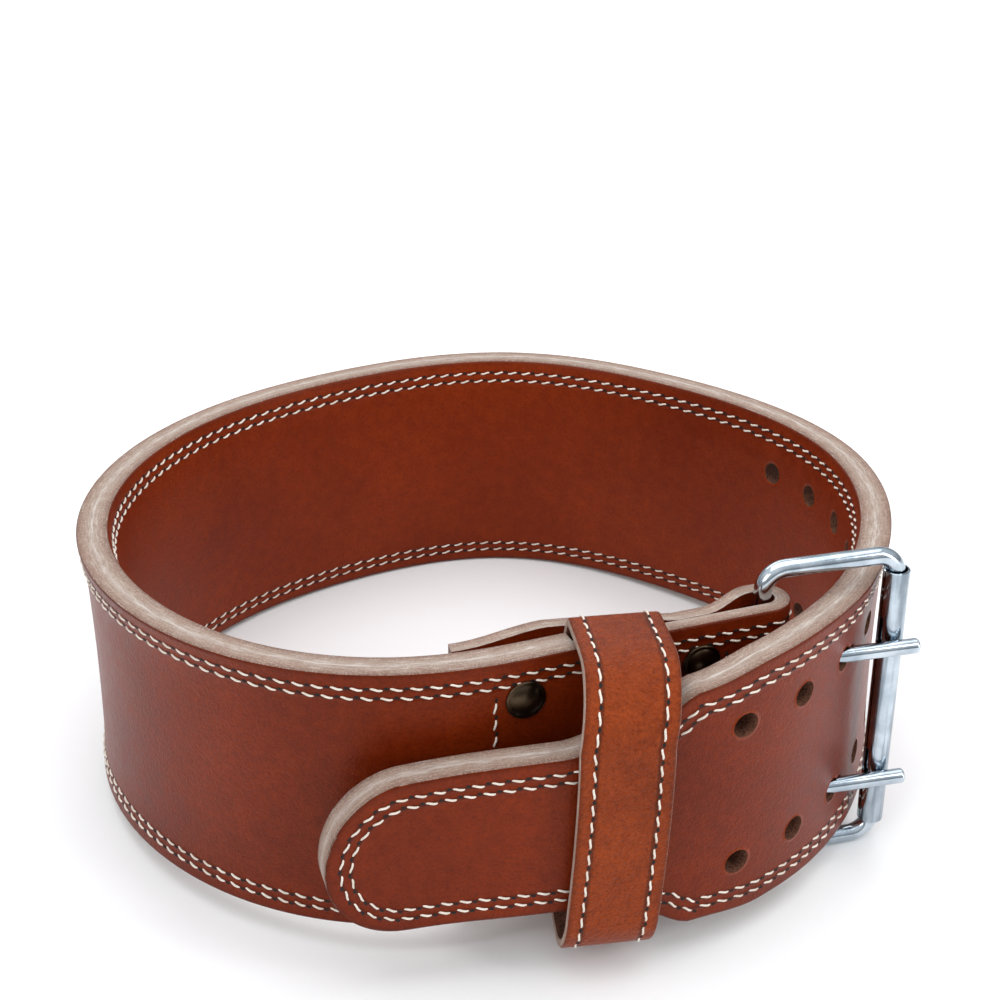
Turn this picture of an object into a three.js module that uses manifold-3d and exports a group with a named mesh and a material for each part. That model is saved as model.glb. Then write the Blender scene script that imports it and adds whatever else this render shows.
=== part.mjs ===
// Weightlifting belt, fastened: two leather layers, a folded buckle end, a two-prong
// roller buckle, six rivets and a keeper loop that holds the tongue.
// Millimetres, +Z up. The front, with the tongue and the keeper, faces -Y.
import * as THREE from 'three';
import { mergeVertices } from 'three/addons/utils/BufferGeometryUtils.js';
import Module from 'manifold-3d';

const wasm = await Module();
wasm.setup();

// Strap
const WRAP_LENGTH = 1038; // buckle bar to the tip of the tongue, along the wrap line
const STRAP_WIDTH = 100;
const OUTER_LAYER = 5.6;
const INNER_LAYER = 5.9;
const GAP = 0.3; // between pieces that touch
const STRAP_THICKNESS = OUTER_LAYER + GAP + INNER_LAYER;
const STATION_STEP = 11; // between sections of the strap

// Tongue
const TONGUE_WIDTH = 57;
const TONGUE_LENGTH = 175; // tip to the full width
const TONGUE_DROP = 10.5; // how far the tip hangs below the middle of the strap
const DROP_LENGTH = 210; // the stretch over which it bends down

// Folded buckle end
const EYE_ROOM = 8.4; // hollow of the fold, where the bar lies
const CHAPE_LENGTH = 113; // free end of the folded-back leather, from the bar
const CHAPE_CLOSED_FROM = 19;
const CHAPE_CLOSED_TO = 34.5;
const CHAPE_STEP = 7.5; // between sections of the chape
const INNER_START = 72; // where the inner layer begins, from the bar

// Buckle
const WIRE = 6.4;
const FRAME_WIDTH = 50; // bar to bar, between centres
const FRAME_ROOM = 17; // how much wider the frame is than the strap
const FRAME_HEIGHT = STRAP_WIDTH + FRAME_ROOM; // arm to arm, between centres
const FRAME_CORNER = 8;
const BUCKLE_LIFT = 1.5; // its middle lies this much above the middle of the strap
const ROLLER_OUTSIDE = 9.4;
const ROLLER_WALL = 0.8;
const ROLLER_REACH = 2; // how far each end of the roller reaches into a corner
const ROLLER_LENGTH = FRAME_HEIGHT - 2 * FRAME_CORNER + 2 * ROLLER_REACH;
const ROLLER_CLEARANCE = 3.4; // roller to the strap that passes it
const PRONG = 5.6;
const PRONG_SAG = 1; // their middle lies this much below the middle of the strap
const PRONG_EYE_WALL = 3;
const PRONG_OVERHANG = 7.5; // tip beyond the roller
const SLOT_LENGTH = 23; // slots of the fold, along the strap
const SLOT_PLAY = 1.2;
const BORE_PLAY = 0.5; // leather pressed round a prong

// Holes
const HOLE = 9;
const HOLE_PITCH = 25.5;
const HOLE_ROW_SPACING = 55;
const HOLES_TO_TIP = 2; // columns between the prongs and the tip
const HOLES_TO_BACK = 6; // columns behind the prongs

// Keeper
const KEEPER_WIDTH = 32.5;
const KEEPER_LEATHER = 3.2;
const KEEPER_FROM = 42.5; // its edge nearest the buckle, from the bar
const KEEPER_PLAY = 2.5; // in front of the tongue
const KEEPER_ROOM_ABOVE = 2;
const KEEPER_ROOM_BELOW = 0.5;
const KEEPER_TOP_ROUND = 12;
const KEEPER_BOTTOM_ROUND = 14;
const KEEPER_BACK_ROUND = 1.5;

// Rivets
const RIVET_ROW_SPACING = 35;
const RIVET_CAP = 14;
const RIVET_CAP_HEIGHT = 2.6;
const RIVET_BACK = 12.6;
const RIVET_BACK_HEIGHT = 2;
const RIVET_POST = 5;
const RIVET_RIM = 0.8;
const RIVET_HOLLOW = 5; // mouth of the hollow back ends
const RIVET_HOLLOW_DEPTH = 1.4;
const RIVET_COLUMNS = [
  { name: 'buckle', along: 27, hollow: false },
  { name: 'keeper', along: 90.5, hollow: true },
];

// The wrap line, seen from above: the line where the two ends of the strap face each
// other. The buckle end lies inside it and the tongue outside it. Each row gives the
// share of its length and how fast it turns there, in degrees over the whole length.
const WRAP_START = { x: 99, y: -95.8, heading: 200.2 };
const WRAP_TURNS = [
  { along: 0.0, turn: 10 },
  { along: 0.07, turn: -50 },
  { along: 0.12, turn: 645 },
  { along: 0.2, turn: 445 },
  { along: 0.3, turn: 505 },
  { along: 0.4, turn: 410 },
  { along: 0.47, turn: 230 },
  { along: 0.54, turn: 685 },
  { along: 0.61, turn: 190 },
  { along: 0.7, turn: 625 },
  { along: 0.78, turn: 305 },
  { along: 0.87, turn: 595 },
  { along: 0.93, turn: 195 },
  { along: 0.96, turn: -240 },
  { along: 1.0, turn: -240 },
];
const CROSSING = { from: 0.12, to: 0.8 }; // where the strap moves from inside to outside
// Half width of the tongue: share of the tongue length from the tip, and the share of
// the way from the tongue's own width to the strap's.
const TONGUE_SHOULDER = [
  { fromTip: 0.0, widening: 0.0 },
  { fromTip: 0.45, widening: 0.08 },
  { fromTip: 0.6, widening: 0.4 },
  { fromTip: 0.7, widening: 0.82 },
  { fromTip: 0.85, widening: 0.97 },
  { fromTip: 1.0, widening: 1.0 },
];
const ROUND_SIDES = 12;

const leather = (color) => new THREE.MeshStandardMaterial({ color, roughness: 0.42, metalness: 0 });
const MATERIALS = {
  grain: leather(0x8a3a1c),
  flesh: leather(0x7c3418),
  keeper: leather(0xa0461c),
  nickel: new THREE.MeshStandardMaterial({ color: 0xc9ccd0, roughness: 0.2, metalness: 1 }),
  antique: new THREE.MeshStandardMaterial({ color: 0x4a3d30, roughness: 0.3, metalness: 1 }),
};

const WRAP_STEPS = 1040;
const clamp01 = (value) => Math.min(1, Math.max(0, value));
const lerp = THREE.MathUtils.lerp;

/** Value of a table at a place, straight between its rows. */
function tableAt(rows, place, key, column) {
  const next = rows.findIndex((row) => row[key] >= place);
  if (next === 0) return rows[0][column];
  if (next < 0) return rows[rows.length - 1][column];
  const [low, high] = [rows[next - 1], rows[next]];
  return lerp(low[column], high[column], (place - low[key]) / (high[key] - low[key]));
}

/** Value of a table at a place, eased between its rows so that it has no corners. */
function easedTableAt(rows, place, key, column) {
  const next = rows.findIndex((row) => row[key] >= place);
  if (next === 0) return rows[0][column];
  if (next < 0) return rows[rows.length - 1][column];
  const [low, high] = [rows[next - 1], rows[next]];
  return lerp(low[column], high[column], THREE.MathUtils.smoothstep(place, low[key], high[key]));
}

/** Points and headings along the wrap line, found by adding up its turns. */
function traceWrapLine() {
  const points = [];
  let [x, y] = [WRAP_START.x, WRAP_START.y];
  let heading = THREE.MathUtils.degToRad(WRAP_START.heading);
  const step = WRAP_LENGTH / WRAP_STEPS;
  for (let index = 0; index <= WRAP_STEPS; index += 1) {
    points.push({ x, y, heading });
    const share = (index + 0.5) / WRAP_STEPS;
    const turn = THREE.MathUtils.degToRad(tableAt(WRAP_TURNS, share, 'along', 'turn')) / WRAP_STEPS;
    x += Math.cos(heading - turn / 2) * step;
    y += Math.sin(heading - turn / 2) * step;
    heading -= turn;
  }
  return points;
}
const WRAP_LINE = traceWrapLine();

/** Place on the wrap line: its point, its direction of travel and its outward side. */
function wrapAt(along) {
  const position = clamp01(along / WRAP_LENGTH) * WRAP_STEPS;
  const low = Math.min(Math.floor(position), WRAP_STEPS - 1);
  const [from, to] = [WRAP_LINE[low], WRAP_LINE[low + 1]];
  const heading = lerp(from.heading, to.heading, position - low);
  return {
    point: new THREE.Vector2(lerp(from.x, to.x, position - low), lerp(from.y, to.y, position - low)),
    travel: new THREE.Vector2(Math.cos(heading), Math.sin(heading)),
    outward: new THREE.Vector2(-Math.sin(heading), Math.cos(heading)),
  };
}

/** How far the outer face of the strap stands outside the wrap line. */
function outerFaceOffset(along) {
  const share = clamp01((along / WRAP_LENGTH - CROSSING.from) / (CROSSING.to - CROSSING.from));
  return STRAP_THICKNESS * share;
}

/** Plan point of the strap at a depth below its outer face. */
function strapPoint(along, depth) {
  const { point, outward } = wrapAt(along);
  return point.clone().addScaledVector(outward, outerFaceOffset(along) - depth);
}

/** Height of the middle of the strap: the tongue hangs a little towards its tip. */
function middleHeight(along) {
  const bend = clamp01(1 - (WRAP_LENGTH - along) / DROP_LENGTH);
  return STRAP_WIDTH / 2 - TONGUE_DROP * bend * bend;
}

/** Half width of the strap, with the shoulders and the round tip of the tongue. */
function halfWidth(along) {
  const fromTip = WRAP_LENGTH - along;
  const widening = easedTableAt(TONGUE_SHOULDER, fromTip / TONGUE_LENGTH, 'fromTip', 'widening');
  const half = lerp(TONGUE_WIDTH, STRAP_WIDTH, widening) / 2;
  const tipRadius = TONGUE_WIDTH / 2;
  if (fromTip >= tipRadius) return half;
  const beyond = (tipRadius - fromTip) / tipRadius;
  return Math.max(half * Math.sqrt(1 - beyond * beyond), half * 0.05);
}

/** Places of the strap's sections from a place to the tip. They are counted back from
 * the round tip, so that both layers have their sections at the same places. */
function strapStations(from) {
  const tipRadius = TONGUE_WIDTH / 2;
  const straightEnd = WRAP_LENGTH - tipRadius;
  const places = [];
  for (let place = straightEnd; place > from + STATION_STEP / 4; place -= STATION_STEP) places.unshift(place);
  places.unshift(from);
  const tipCount = 7;
  for (let index = 1; index <= tipCount; index += 1) {
    places.push(straightEnd + tipRadius * Math.sin((Math.PI / 2) * (index / tipCount)));
  }
  return places;
}

/** One leather wall: a box whose sections are laid on a list of sections. Each section
 * has its two plan points, grain side and flesh side, and its bottom and top. */
function leatherWall(sections) {
  const geometry = new THREE.BoxGeometry(1, 1, 1, sections.length - 1, 1, 1);
  const position = geometry.attributes.position;
  for (let index = 0; index < position.count; index += 1) {
    const section = sections[Math.round((position.getX(index) + 0.5) * (sections.length - 1))];
    const plan = position.getY(index) > 0 ? section.grain : section.flesh;
    const height = position.getZ(index) > 0 ? section.top : section.bottom;
    position.setXYZ(index, plan.x, plan.y, height);
  }
  return geometry;
}

/** Closed solid of a three.js geometry, with its shared vertices merged. */
function solidOf(geometry, matrix = new THREE.Matrix4()) {
  const bare = geometry.index ? geometry.clone() : mergeVertices(geometry.clone());
  bare.deleteAttribute('normal');
  bare.deleteAttribute('uv');
  bare.applyMatrix4(matrix);
  const merged = mergeVertices(bare, 1e-4);
  const triangles = [];
  const index = merged.index.array;
  for (let corner = 0; corner < index.length; corner += 3) {
    const [a, b, c] = [index[corner], index[corner + 1], index[corner + 2]];
    if (a !== b && b !== c && c !== a) triangles.push(a, b, c);
  }
  const vertProperties = Float32Array.from(merged.attributes.position.array);
  return new wasm.Manifold(
    new wasm.Mesh({ numProp: 3, vertProperties, triVerts: Uint32Array.from(triangles) }),
  );
}

/** three.js geometry of a solid. */
function geometryOf(solid) {
  const mesh = solid.getMesh();
  const geometry = new THREE.BufferGeometry();
  geometry.setAttribute('position', new THREE.BufferAttribute(Float32Array.from(mesh.vertProperties), 3));
  geometry.setIndex(new THREE.BufferAttribute(Uint32Array.from(mesh.triVerts), 1));
  geometry.computeVertexNormals();
  return geometry;
}

const subtractAll = (solid, cutters) => cutters.reduce((rest, cutter) => rest.subtract(cutter), solid);

/** Placement that turns a shape's Y axis to a direction and moves it to a place. */
function placement(place, direction) {
  const turn = new THREE.Quaternion().setFromUnitVectors(new THREE.Vector3(0, 1, 0), direction);
  return new THREE.Matrix4().compose(place, turn, new THREE.Vector3(1, 1, 1));
}

const upright = (plan, height) => new THREE.Vector3(plan.x, plan.y, height);
const level = (plan) => new THREE.Vector3(plan.x, plan.y, 0);

/** Round cutter through the strap, square to it. */
function boreCutter(along, height, depth, diameter, length) {
  const shape = new THREE.CylinderGeometry(diameter / 2, diameter / 2, length, ROUND_SIDES);
  return solidOf(shape, placement(upright(strapPoint(along, depth), height), level(wrapAt(along).outward)));
}

// The keeper lies across the buckle end: against the outer layer at its right edge, and
// over the start of the inner layer near its left edge.
const keeperRight = strapPoint(KEEPER_FROM, OUTER_LAYER + GAP);
const keeperLean = strapPoint(INNER_START, STRAP_THICKNESS + GAP);
const keeperAcross = keeperRight.clone().sub(keeperLean).normalize();
const keeperForward = new THREE.Vector2(keeperAcross.y, -keeperAcross.x);
const keeperMiddle = keeperRight.clone().addScaledVector(keeperAcross, -KEEPER_WIDTH / 2);
/** How far a plan point lies in front of the keeper's back pass. */
const beforeKeeper = (plan) => plan.clone().sub(keeperMiddle).dot(keeperForward);
const besideKeeper = (plan) => plan.clone().sub(keeperMiddle).dot(keeperAcross);

/** Depth of room that the keeper's back pass needs behind the outer layer. */
function backPassRoom(along) {
  const ahead = beforeKeeper(strapPoint(along, OUTER_LAYER)) + KEEPER_LEATHER + 2 * GAP;
  return ahead / wrapAt(along).outward.dot(keeperForward);
}

// Room between the outer layer and the chape, the leather folded back inside it.
const KEEPER_START = KEEPER_FROM - 1.5;
const KEEPER_END = KEEPER_FROM + KEEPER_WIDTH + 1.5;
const CHAPE_ROOM = [
  { along: 0, room: EYE_ROOM },
  { along: CHAPE_CLOSED_FROM, room: GAP },
  { along: CHAPE_CLOSED_TO, room: GAP },
  { along: KEEPER_START, room: backPassRoom(KEEPER_START) },
  { along: KEEPER_END, room: backPassRoom(KEEPER_END) },
  { along: CHAPE_LENGTH, room: INNER_LAYER + 2.5 * GAP },
];

function chapeRoom(along) {
  const besideBackPass = along > KEEPER_START && along < KEEPER_END;
  return (besideBackPass ? tableAt : easedTableAt)(CHAPE_ROOM, along, 'along', 'room');
}

/** Places of the chape's sections, from its free end to the bar. */
function chapeStations() {
  const places = [];
  for (let row = CHAPE_ROOM.length - 1; row > 0; row -= 1) {
    const [from, to] = [CHAPE_ROOM[row].along, CHAPE_ROOM[row - 1].along];
    const count = Math.ceil((from - to) / CHAPE_STEP);
    for (let index = 0; index < count; index += 1) places.push(lerp(from, to, index / count));
  }
  return places;
}

const chapeBackDepth = (along) => 2 * OUTER_LAYER + chapeRoom(along);
const foldCentre = strapPoint(0, OUTER_LAYER + EYE_ROOM / 2);

/** Sections of the outer layer: the chape, the fold round the bar, and the strap. */
function outerLayerSections() {
  const full = { bottom: 0, top: STRAP_WIDTH };
  const chape = chapeStations().map((along) => {
    const depth = OUTER_LAYER + chapeRoom(along);
    return { grain: strapPoint(along, depth + OUTER_LAYER), flesh: strapPoint(along, depth), ...full };
  });
  const { travel, outward } = wrapAt(0);
  const foldCount = 10;
  const fold = Array.from({ length: foldCount }, (_, index) => {
    const angle = Math.PI * (index / foldCount);
    const spoke = outward.clone().multiplyScalar(-Math.cos(angle)).addScaledVector(travel, -Math.sin(angle));
    return {
      grain: foldCentre.clone().addScaledVector(spoke, EYE_ROOM / 2 + OUTER_LAYER),
      flesh: foldCentre.clone().addScaledVector(spoke, EYE_ROOM / 2),
      ...full,
    };
  });
  return [...chape, ...fold, ...layerSections(strapStations(0), 0, OUTER_LAYER)];
}

/** Sections of one layer of the strap, between two depths below the outer face. */
function layerSections(stations, outerDepth, innerDepth) {
  return stations.map((along) => ({
    grain: strapPoint(along, outerDepth),
    flesh: strapPoint(along, innerDepth),
    bottom: middleHeight(along) - halfWidth(along),
    top: middleHeight(along) + halfWidth(along),
  }));
}

/** Distance of a plan point from the outer face of the strap's second pass; it is
 * negative inside the strap. */
function outsideStrap(plan) {
  let nearest = Infinity;
  for (let along = 0.7 * WRAP_LENGTH; along < 0.96 * WRAP_LENGTH; along += 2) {
    const away = plan.clone().sub(strapPoint(along, 0));
    const side = Math.sign(away.dot(wrapAt(along).outward));
    if (away.length() < Math.abs(nearest)) nearest = side * away.length();
  }
  return nearest;
}

/** Angle at which the frame lies when its roller just clears the strap. */
function frameAngle() {
  let [low, high] = [THREE.MathUtils.degToRad(-35), THREE.MathUtils.degToRad(40)];
  const target = ROLLER_OUTSIDE / 2 + ROLLER_CLEARANCE;
  for (let round = 0; round < 30; round += 1) {
    const middle = (low + high) / 2;
    const reach = new THREE.Vector2(Math.cos(middle), Math.sin(middle)).multiplyScalar(FRAME_WIDTH);
    if (outsideStrap(foldCentre.clone().add(reach)) > target) low = middle;
    else high = middle;
  }
  return (low + high) / 2;
}

const buckleTurn = frameAngle();
const buckleHeight = STRAP_WIDTH / 2 + BUCKLE_LIFT;
const prongMiddle = STRAP_WIDTH / 2 - PRONG_SAG;
const prongHeights = [1, -1].map((side) => prongMiddle + (side * HOLE_ROW_SPACING) / 2);
const buckleToBelt = new THREE.Matrix4()
  .makeRotationZ(buckleTurn)
  .setPosition(foldCentre.x, foldCentre.y, buckleHeight);

// A prong lies in the buckle's own plane, from its eye on the bar to over the roller. Its
// shank is the common tangent of two circles, round the bar and round the roller.
const prongAtBar = WIRE / 2 + GAP + PRONG / 2;
const prongAtRoller = ROLLER_OUTSIDE / 2 + GAP + PRONG / 2;
const prongRise = Math.asin((prongAtRoller - prongAtBar) / FRAME_WIDTH);
const prongAlong = new THREE.Vector3(Math.cos(prongRise), -Math.sin(prongRise), 0);
const prongOut = new THREE.Vector3(-Math.sin(prongRise), -Math.cos(prongRise), 0);
const prongStart = prongOut.clone().multiplyScalar(prongAtBar);
const prongLength = FRAME_WIDTH * Math.cos(prongRise) + PRONG_OVERHANG;

/** Where the prong's middle line crosses the middle of the strap, along the wrap line. */
function prongCrossing() {
  const start = prongStart.clone().applyMatrix4(buckleToBelt);
  const direction = prongAlong.clone().transformDirection(buckleToBelt);
  const side = (along) => {
    const away = strapPoint(along, STRAP_THICKNESS / 2);
    return (away.x - start.x) * direction.y - (away.y - start.y) * direction.x;
  };
  let crossing = 0.8 * WRAP_LENGTH;
  while (Math.sign(side(crossing)) === Math.sign(side(crossing + 1))) crossing += 1;
  return crossing + 0.5;
}

/** Shank of a prong, blunt at its tip; extra makes it thicker, to cut room for it. */
function prongShank(extra, trimStart) {
  const radius = PRONG / 2 + extra;
  const bevel = 0.9;
  const profile = [
    [0, trimStart],
    [radius, trimStart],
    [radius, prongLength - bevel],
    [radius - bevel, prongLength],
    [0, prongLength],
  ].map(([across, length]) => new THREE.Vector2(across, length));
  return solidOf(new THREE.LatheGeometry(profile, ROUND_SIDES), placement(prongStart, prongAlong));
}

/** Tube between two radii, round Z. */
function ring(inside, outside, height) {
  const [low, high] = [-height / 2, height / 2];
  const profile = [
    new THREE.Vector2(inside, low),
    new THREE.Vector2(outside, low),
    new THREE.Vector2(outside, high),
    new THREE.Vector2(inside, high),
    new THREE.Vector2(inside, low),
  ];
  return new THREE.LatheGeometry(profile, 20).rotateX(Math.PI / 2);
}

const atHeight = (height) => new THREE.Matrix4().makeTranslation(0, 0, height - buckleHeight);

/** Cutters in the strap: holes, the way of each prong, and the rivets' bores. */
function strapCutters() {
  const cutters = [];
  const crossing = prongCrossing();
  const depth = STRAP_THICKNESS / 2;
  for (let column = -HOLES_TO_BACK; column <= HOLES_TO_TIP; column += 1) {
    const along = crossing + column * HOLE_PITCH;
    for (const side of [1, -1]) {
      const height = middleHeight(along) + (side * HOLE_ROW_SPACING) / 2;
      cutters.push(boreCutter(along, height, depth, HOLE, STRAP_THICKNESS + 3));
    }
  }
  for (const height of prongHeights) {
    const way = prongShank(BORE_PLAY, EYE_ROOM / 2 + OUTER_LAYER + 1);
    cutters.push(way.transform(buckleToBelt.clone().multiply(atHeight(height)).toArray()));
  }
  return [...cutters, ...rivetPlaces().map((rivet) => rivetBore(rivet))];
}

/** Slots of the fold, round ended, where the prongs' eyes stand on the bar. */
function foldSlots() {
  const { travel, outward } = wrapAt(0);
  const height = PRONG + 2 * SLOT_PLAY;
  const deep = EYE_ROOM + 2 * OUTER_LAYER + 4;
  const turn = new THREE.Matrix4().makeRotationZ(Math.atan2(travel.y, travel.x));
  return prongHeights.flatMap((middle) => {
    const box = new THREE.BoxGeometry(SLOT_LENGTH, deep, height);
    const end = foldCentre.clone().addScaledVector(travel, SLOT_LENGTH / 2);
    const round = new THREE.CylinderGeometry(height / 2, height / 2, deep, ROUND_SIDES);
    return [
      solidOf(box, turn.clone().setPosition(foldCentre.x, foldCentre.y, middle)),
      solidOf(round, placement(upright(end, middle), level(outward))),
    ];
  });
}

/** The six rivets: their names, places and the depths of their two seats. */
function rivetPlaces() {
  const rows = [
    { name: 'top', shift: RIVET_ROW_SPACING },
    { name: 'middle', shift: 0 },
    { name: 'bottom', shift: -RIVET_ROW_SPACING },
  ];
  return RIVET_COLUMNS.flatMap(({ name, along, hollow }) => {
    const reach = RIVET_BACK / 2;
    const backs = [-1, 0, 1].map((side) => chapeBackDepth(along + side * reach));
    return rows.map((row) => ({
      name: `rivet_${name}_${row.name}`,
      along,
      hollow,
      height: STRAP_WIDTH / 2 + row.shift,
      backSeat: Math.max(...backs) + GAP,
    }));
  });
}

function rivetBore({ along, height, backSeat }) {
  return boreCutter(along, height, backSeat / 2, RIVET_POST + 2 * GAP, backSeat + 4);
}

/** A set rivet: domed cap, post and back end, hollow or domed, in one. */
function rivetMesh({ name, along, hollow, height, backSeat }) {
  const frontSeat = GAP;
  const cap = RIVET_CAP / 2;
  const back = RIVET_BACK / 2;
  const post = RIVET_POST / 2;
  const dome = (radius, tall, share) => [radius * Math.sin(share), tall * Math.cos(share)];
  const front = [0, 0.35, 0.7, 1.05, 1.4].map((share) => dome(cap, RIVET_CAP_HEIGHT - RIVET_RIM, share));
  const rear = [1.4, 1.05, 0.7, 0.35, 0].map((share) => dome(back, RIVET_BACK_HEIGHT - RIVET_RIM, share));
  const mouth = RIVET_HOLLOW / 2;
  const hollowEnd = [
    [back, -backSeat - RIVET_RIM],
    [(back + mouth) / 2, -backSeat - RIVET_BACK_HEIGHT],
    [mouth, -backSeat - RIVET_RIM],
    [mouth - GAP, -backSeat + RIVET_HOLLOW_DEPTH],
    [0, -backSeat + RIVET_HOLLOW_DEPTH],
  ];
  const domedEnd = [[back, -backSeat - RIVET_RIM], ...rear.map(([r, h]) => [r, -backSeat - RIVET_RIM - h])];
  const profile = [
    ...front.map(([r, h]) => [r, frontSeat + RIVET_RIM + h]),
    [cap, frontSeat],
    [post, frontSeat],
    [post, -backSeat],
    [back, -backSeat],
    ...(hollow ? hollowEnd : domedEnd),
  ].map(([r, h]) => new THREE.Vector2(r, h));
  const solid = solidOf(new THREE.LatheGeometry(profile.reverse(), ROUND_SIDES));
  const mesh = new THREE.Mesh(geometryOf(solid), MATERIALS.antique);
  const { outward } = wrapAt(along);
  mesh.name = name;
  mesh.position.copy(upright(strapPoint(along, 0), height));
  mesh.quaternion.setFromUnitVectors(new THREE.Vector3(0, 1, 0), level(outward));
  return mesh;
}

function namedMesh(name, geometry, material) {
  const mesh = new THREE.Mesh(geometry, material);
  mesh.name = name;
  return mesh;
}

function outerStrap() {
  const wall = solidOf(leatherWall(outerLayerSections()));
  const punched = subtractAll(wall, [...strapCutters(), ...foldSlots()]);
  return namedMesh('outer_strap', geometryOf(punched), MATERIALS.grain);
}

function innerStrap() {
  const sections = layerSections(strapStations(INNER_START), OUTER_LAYER + GAP, STRAP_THICKNESS);
  const wall = solidOf(leatherWall(sections));
  return namedMesh('inner_strap', geometryOf(subtractAll(wall, strapCutters())), MATERIALS.flesh);
}

/** Rounded rectangle as a path, for the keeper's band. */
function roundedPath(path, left, right, bottom, top, radii) {
  path.moveTo(left + radii.back, bottom);
  path.lineTo(right - radii.bottom, bottom);
  path.absarc(right - radii.bottom, bottom + radii.bottom, radii.bottom, -Math.PI / 2, 0);
  path.lineTo(right, top - radii.top);
  path.absarc(right - radii.top, top - radii.top, radii.top, 0, Math.PI / 2);
  path.lineTo(left + radii.back, top);
  path.absarc(left + radii.back, top - radii.back, radii.back, Math.PI / 2, Math.PI);
  path.lineTo(left, bottom + radii.back);
  path.absarc(left + radii.back, bottom + radii.back, radii.back, Math.PI, 1.5 * Math.PI);
  return path;
}

/** The keeper: a band round the buckle end and the tongue. */
function keeper() {
  let front = 0;
  for (let along = 0.8 * WRAP_LENGTH; along <= WRAP_LENGTH; along += 2) {
    const face = strapPoint(along, 0);
    if (Math.abs(besideKeeper(face)) < KEEPER_WIDTH / 2 + 1) front = Math.max(front, beforeKeeper(face));
  }
  const wall = KEEPER_LEATHER;
  const [inside, outside] = [front + KEEPER_PLAY, front + KEEPER_PLAY + wall];
  const [low, high] = [-KEEPER_ROOM_BELOW, STRAP_WIDTH + KEEPER_ROOM_ABOVE];
  const innerRadii = { back: KEEPER_BACK_ROUND, bottom: KEEPER_BOTTOM_ROUND, top: KEEPER_TOP_ROUND };
  const thicker = ([key, value]) => [key, value + wall];
  const outerRadii = Object.fromEntries(Object.entries(innerRadii).map(thicker));
  const shape = roundedPath(new THREE.Shape(), -wall, outside, low - wall, high + wall, outerRadii);
  shape.holes.push(roundedPath(new THREE.Path(), 0, inside, low, high, innerRadii));
  const settings = { depth: KEEPER_WIDTH, bevelEnabled: false, curveSegments: 5 };
  const band = new THREE.ExtrudeGeometry(shape, settings);
  const mesh = namedMesh('keeper', band, MATERIALS.keeper);
  const basis = new THREE.Matrix4().makeBasis(
    level(keeperForward),
    new THREE.Vector3(0, 0, 1),
    level(keeperAcross.clone().negate()),
  );
  mesh.quaternion.setFromRotationMatrix(basis);
  mesh.position.copy(level(keeperRight));
  return mesh;
}

/** A path along given points, taken one after the other at equal steps. */
class PointPath extends THREE.Curve {
  constructor(points) {
    super();
    this.points = points;
  }

  getPoint(share, target = new THREE.Vector3()) {
    const place = clamp01(share) * (this.points.length - 1);
    const low = Math.min(Math.floor(place), this.points.length - 2);
    return target.lerpVectors(this.points[low], this.points[low + 1], place - low);
  }

  getPointAt(share, target) {
    return this.getPoint(share, target);
  }

  getTangentAt(share, target = new THREE.Vector3()) {
    const place = Math.round(clamp01(share) * (this.points.length - 1));
    const before = this.points[Math.max(place - 1, 0)];
    const after = this.points[Math.min(place + 1, this.points.length - 1)];
    return target.subVectors(after, before).normalize();
  }
}

/** The frame: a round wire bent to a rectangle, joined in the middle of the roller bar. */
function buckleFrame() {
  const [halfHeight, corner, joint] = [FRAME_HEIGHT / 2, FRAME_CORNER, WIRE];
  const at = (x, z) => new THREE.Vector3(x, 0, z);
  const [near, far] = [corner, FRAME_WIDTH - corner];
  const straight = halfHeight - corner;
  const arc = (x, z, quarter) =>
    Array.from({ length: 6 }, (_, index) => {
      const angle = (Math.PI / 2) * (quarter + index / 5);
      return at(x + corner * Math.cos(angle), z + corner * Math.sin(angle));
    });
  const path = new PointPath([
    at(FRAME_WIDTH, joint),
    at(FRAME_WIDTH, straight - corner),
    ...arc(far, straight, 0),
    at(FRAME_WIDTH / 2, halfHeight),
    ...arc(near, straight, 1),
    at(0, straight - corner),
    at(0, corner - straight),
    ...arc(near, -straight, 2),
    at(FRAME_WIDTH / 2, -halfHeight),
    ...arc(far, -straight, 3),
    at(FRAME_WIDTH, corner - straight),
    at(FRAME_WIDTH, -joint),
  ]);
  const steps = path.points.length - 1;
  const section = new THREE.Shape().absarc(0, 0, WIRE / 2, 0, 2 * Math.PI);
  const wire = new THREE.ExtrudeGeometry(section, { steps, curveSegments: 6, extrudePath: path });
  const bridge = new THREE.CylinderGeometry(WIRE / 2, WIRE / 2, 3 * joint, 12).rotateX(Math.PI / 2);
  const whole = solidOf(wire).add(solidOf(bridge, new THREE.Matrix4().makeTranslation(FRAME_WIDTH, 0, 0)));
  return namedMesh('buckle_frame', geometryOf(whole), MATERIALS.nickel);
}

function buckleRoller() {
  const tube = ring(ROLLER_OUTSIDE / 2 - ROLLER_WALL, ROLLER_OUTSIDE / 2, ROLLER_LENGTH);
  const mesh = namedMesh('buckle_roller', tube, MATERIALS.nickel);
  mesh.position.set(FRAME_WIDTH, 0, 0);
  return mesh;
}

function prong(name, height) {
  const inside = WIRE / 2 + GAP;
  const eye = solidOf(ring(inside, inside + PRONG_EYE_WALL, PRONG));
  const mesh = namedMesh(name, geometryOf(eye.add(prongShank(0, 0))), MATERIALS.nickel);
  mesh.position.z = height - buckleHeight;
  return mesh;
}

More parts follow.
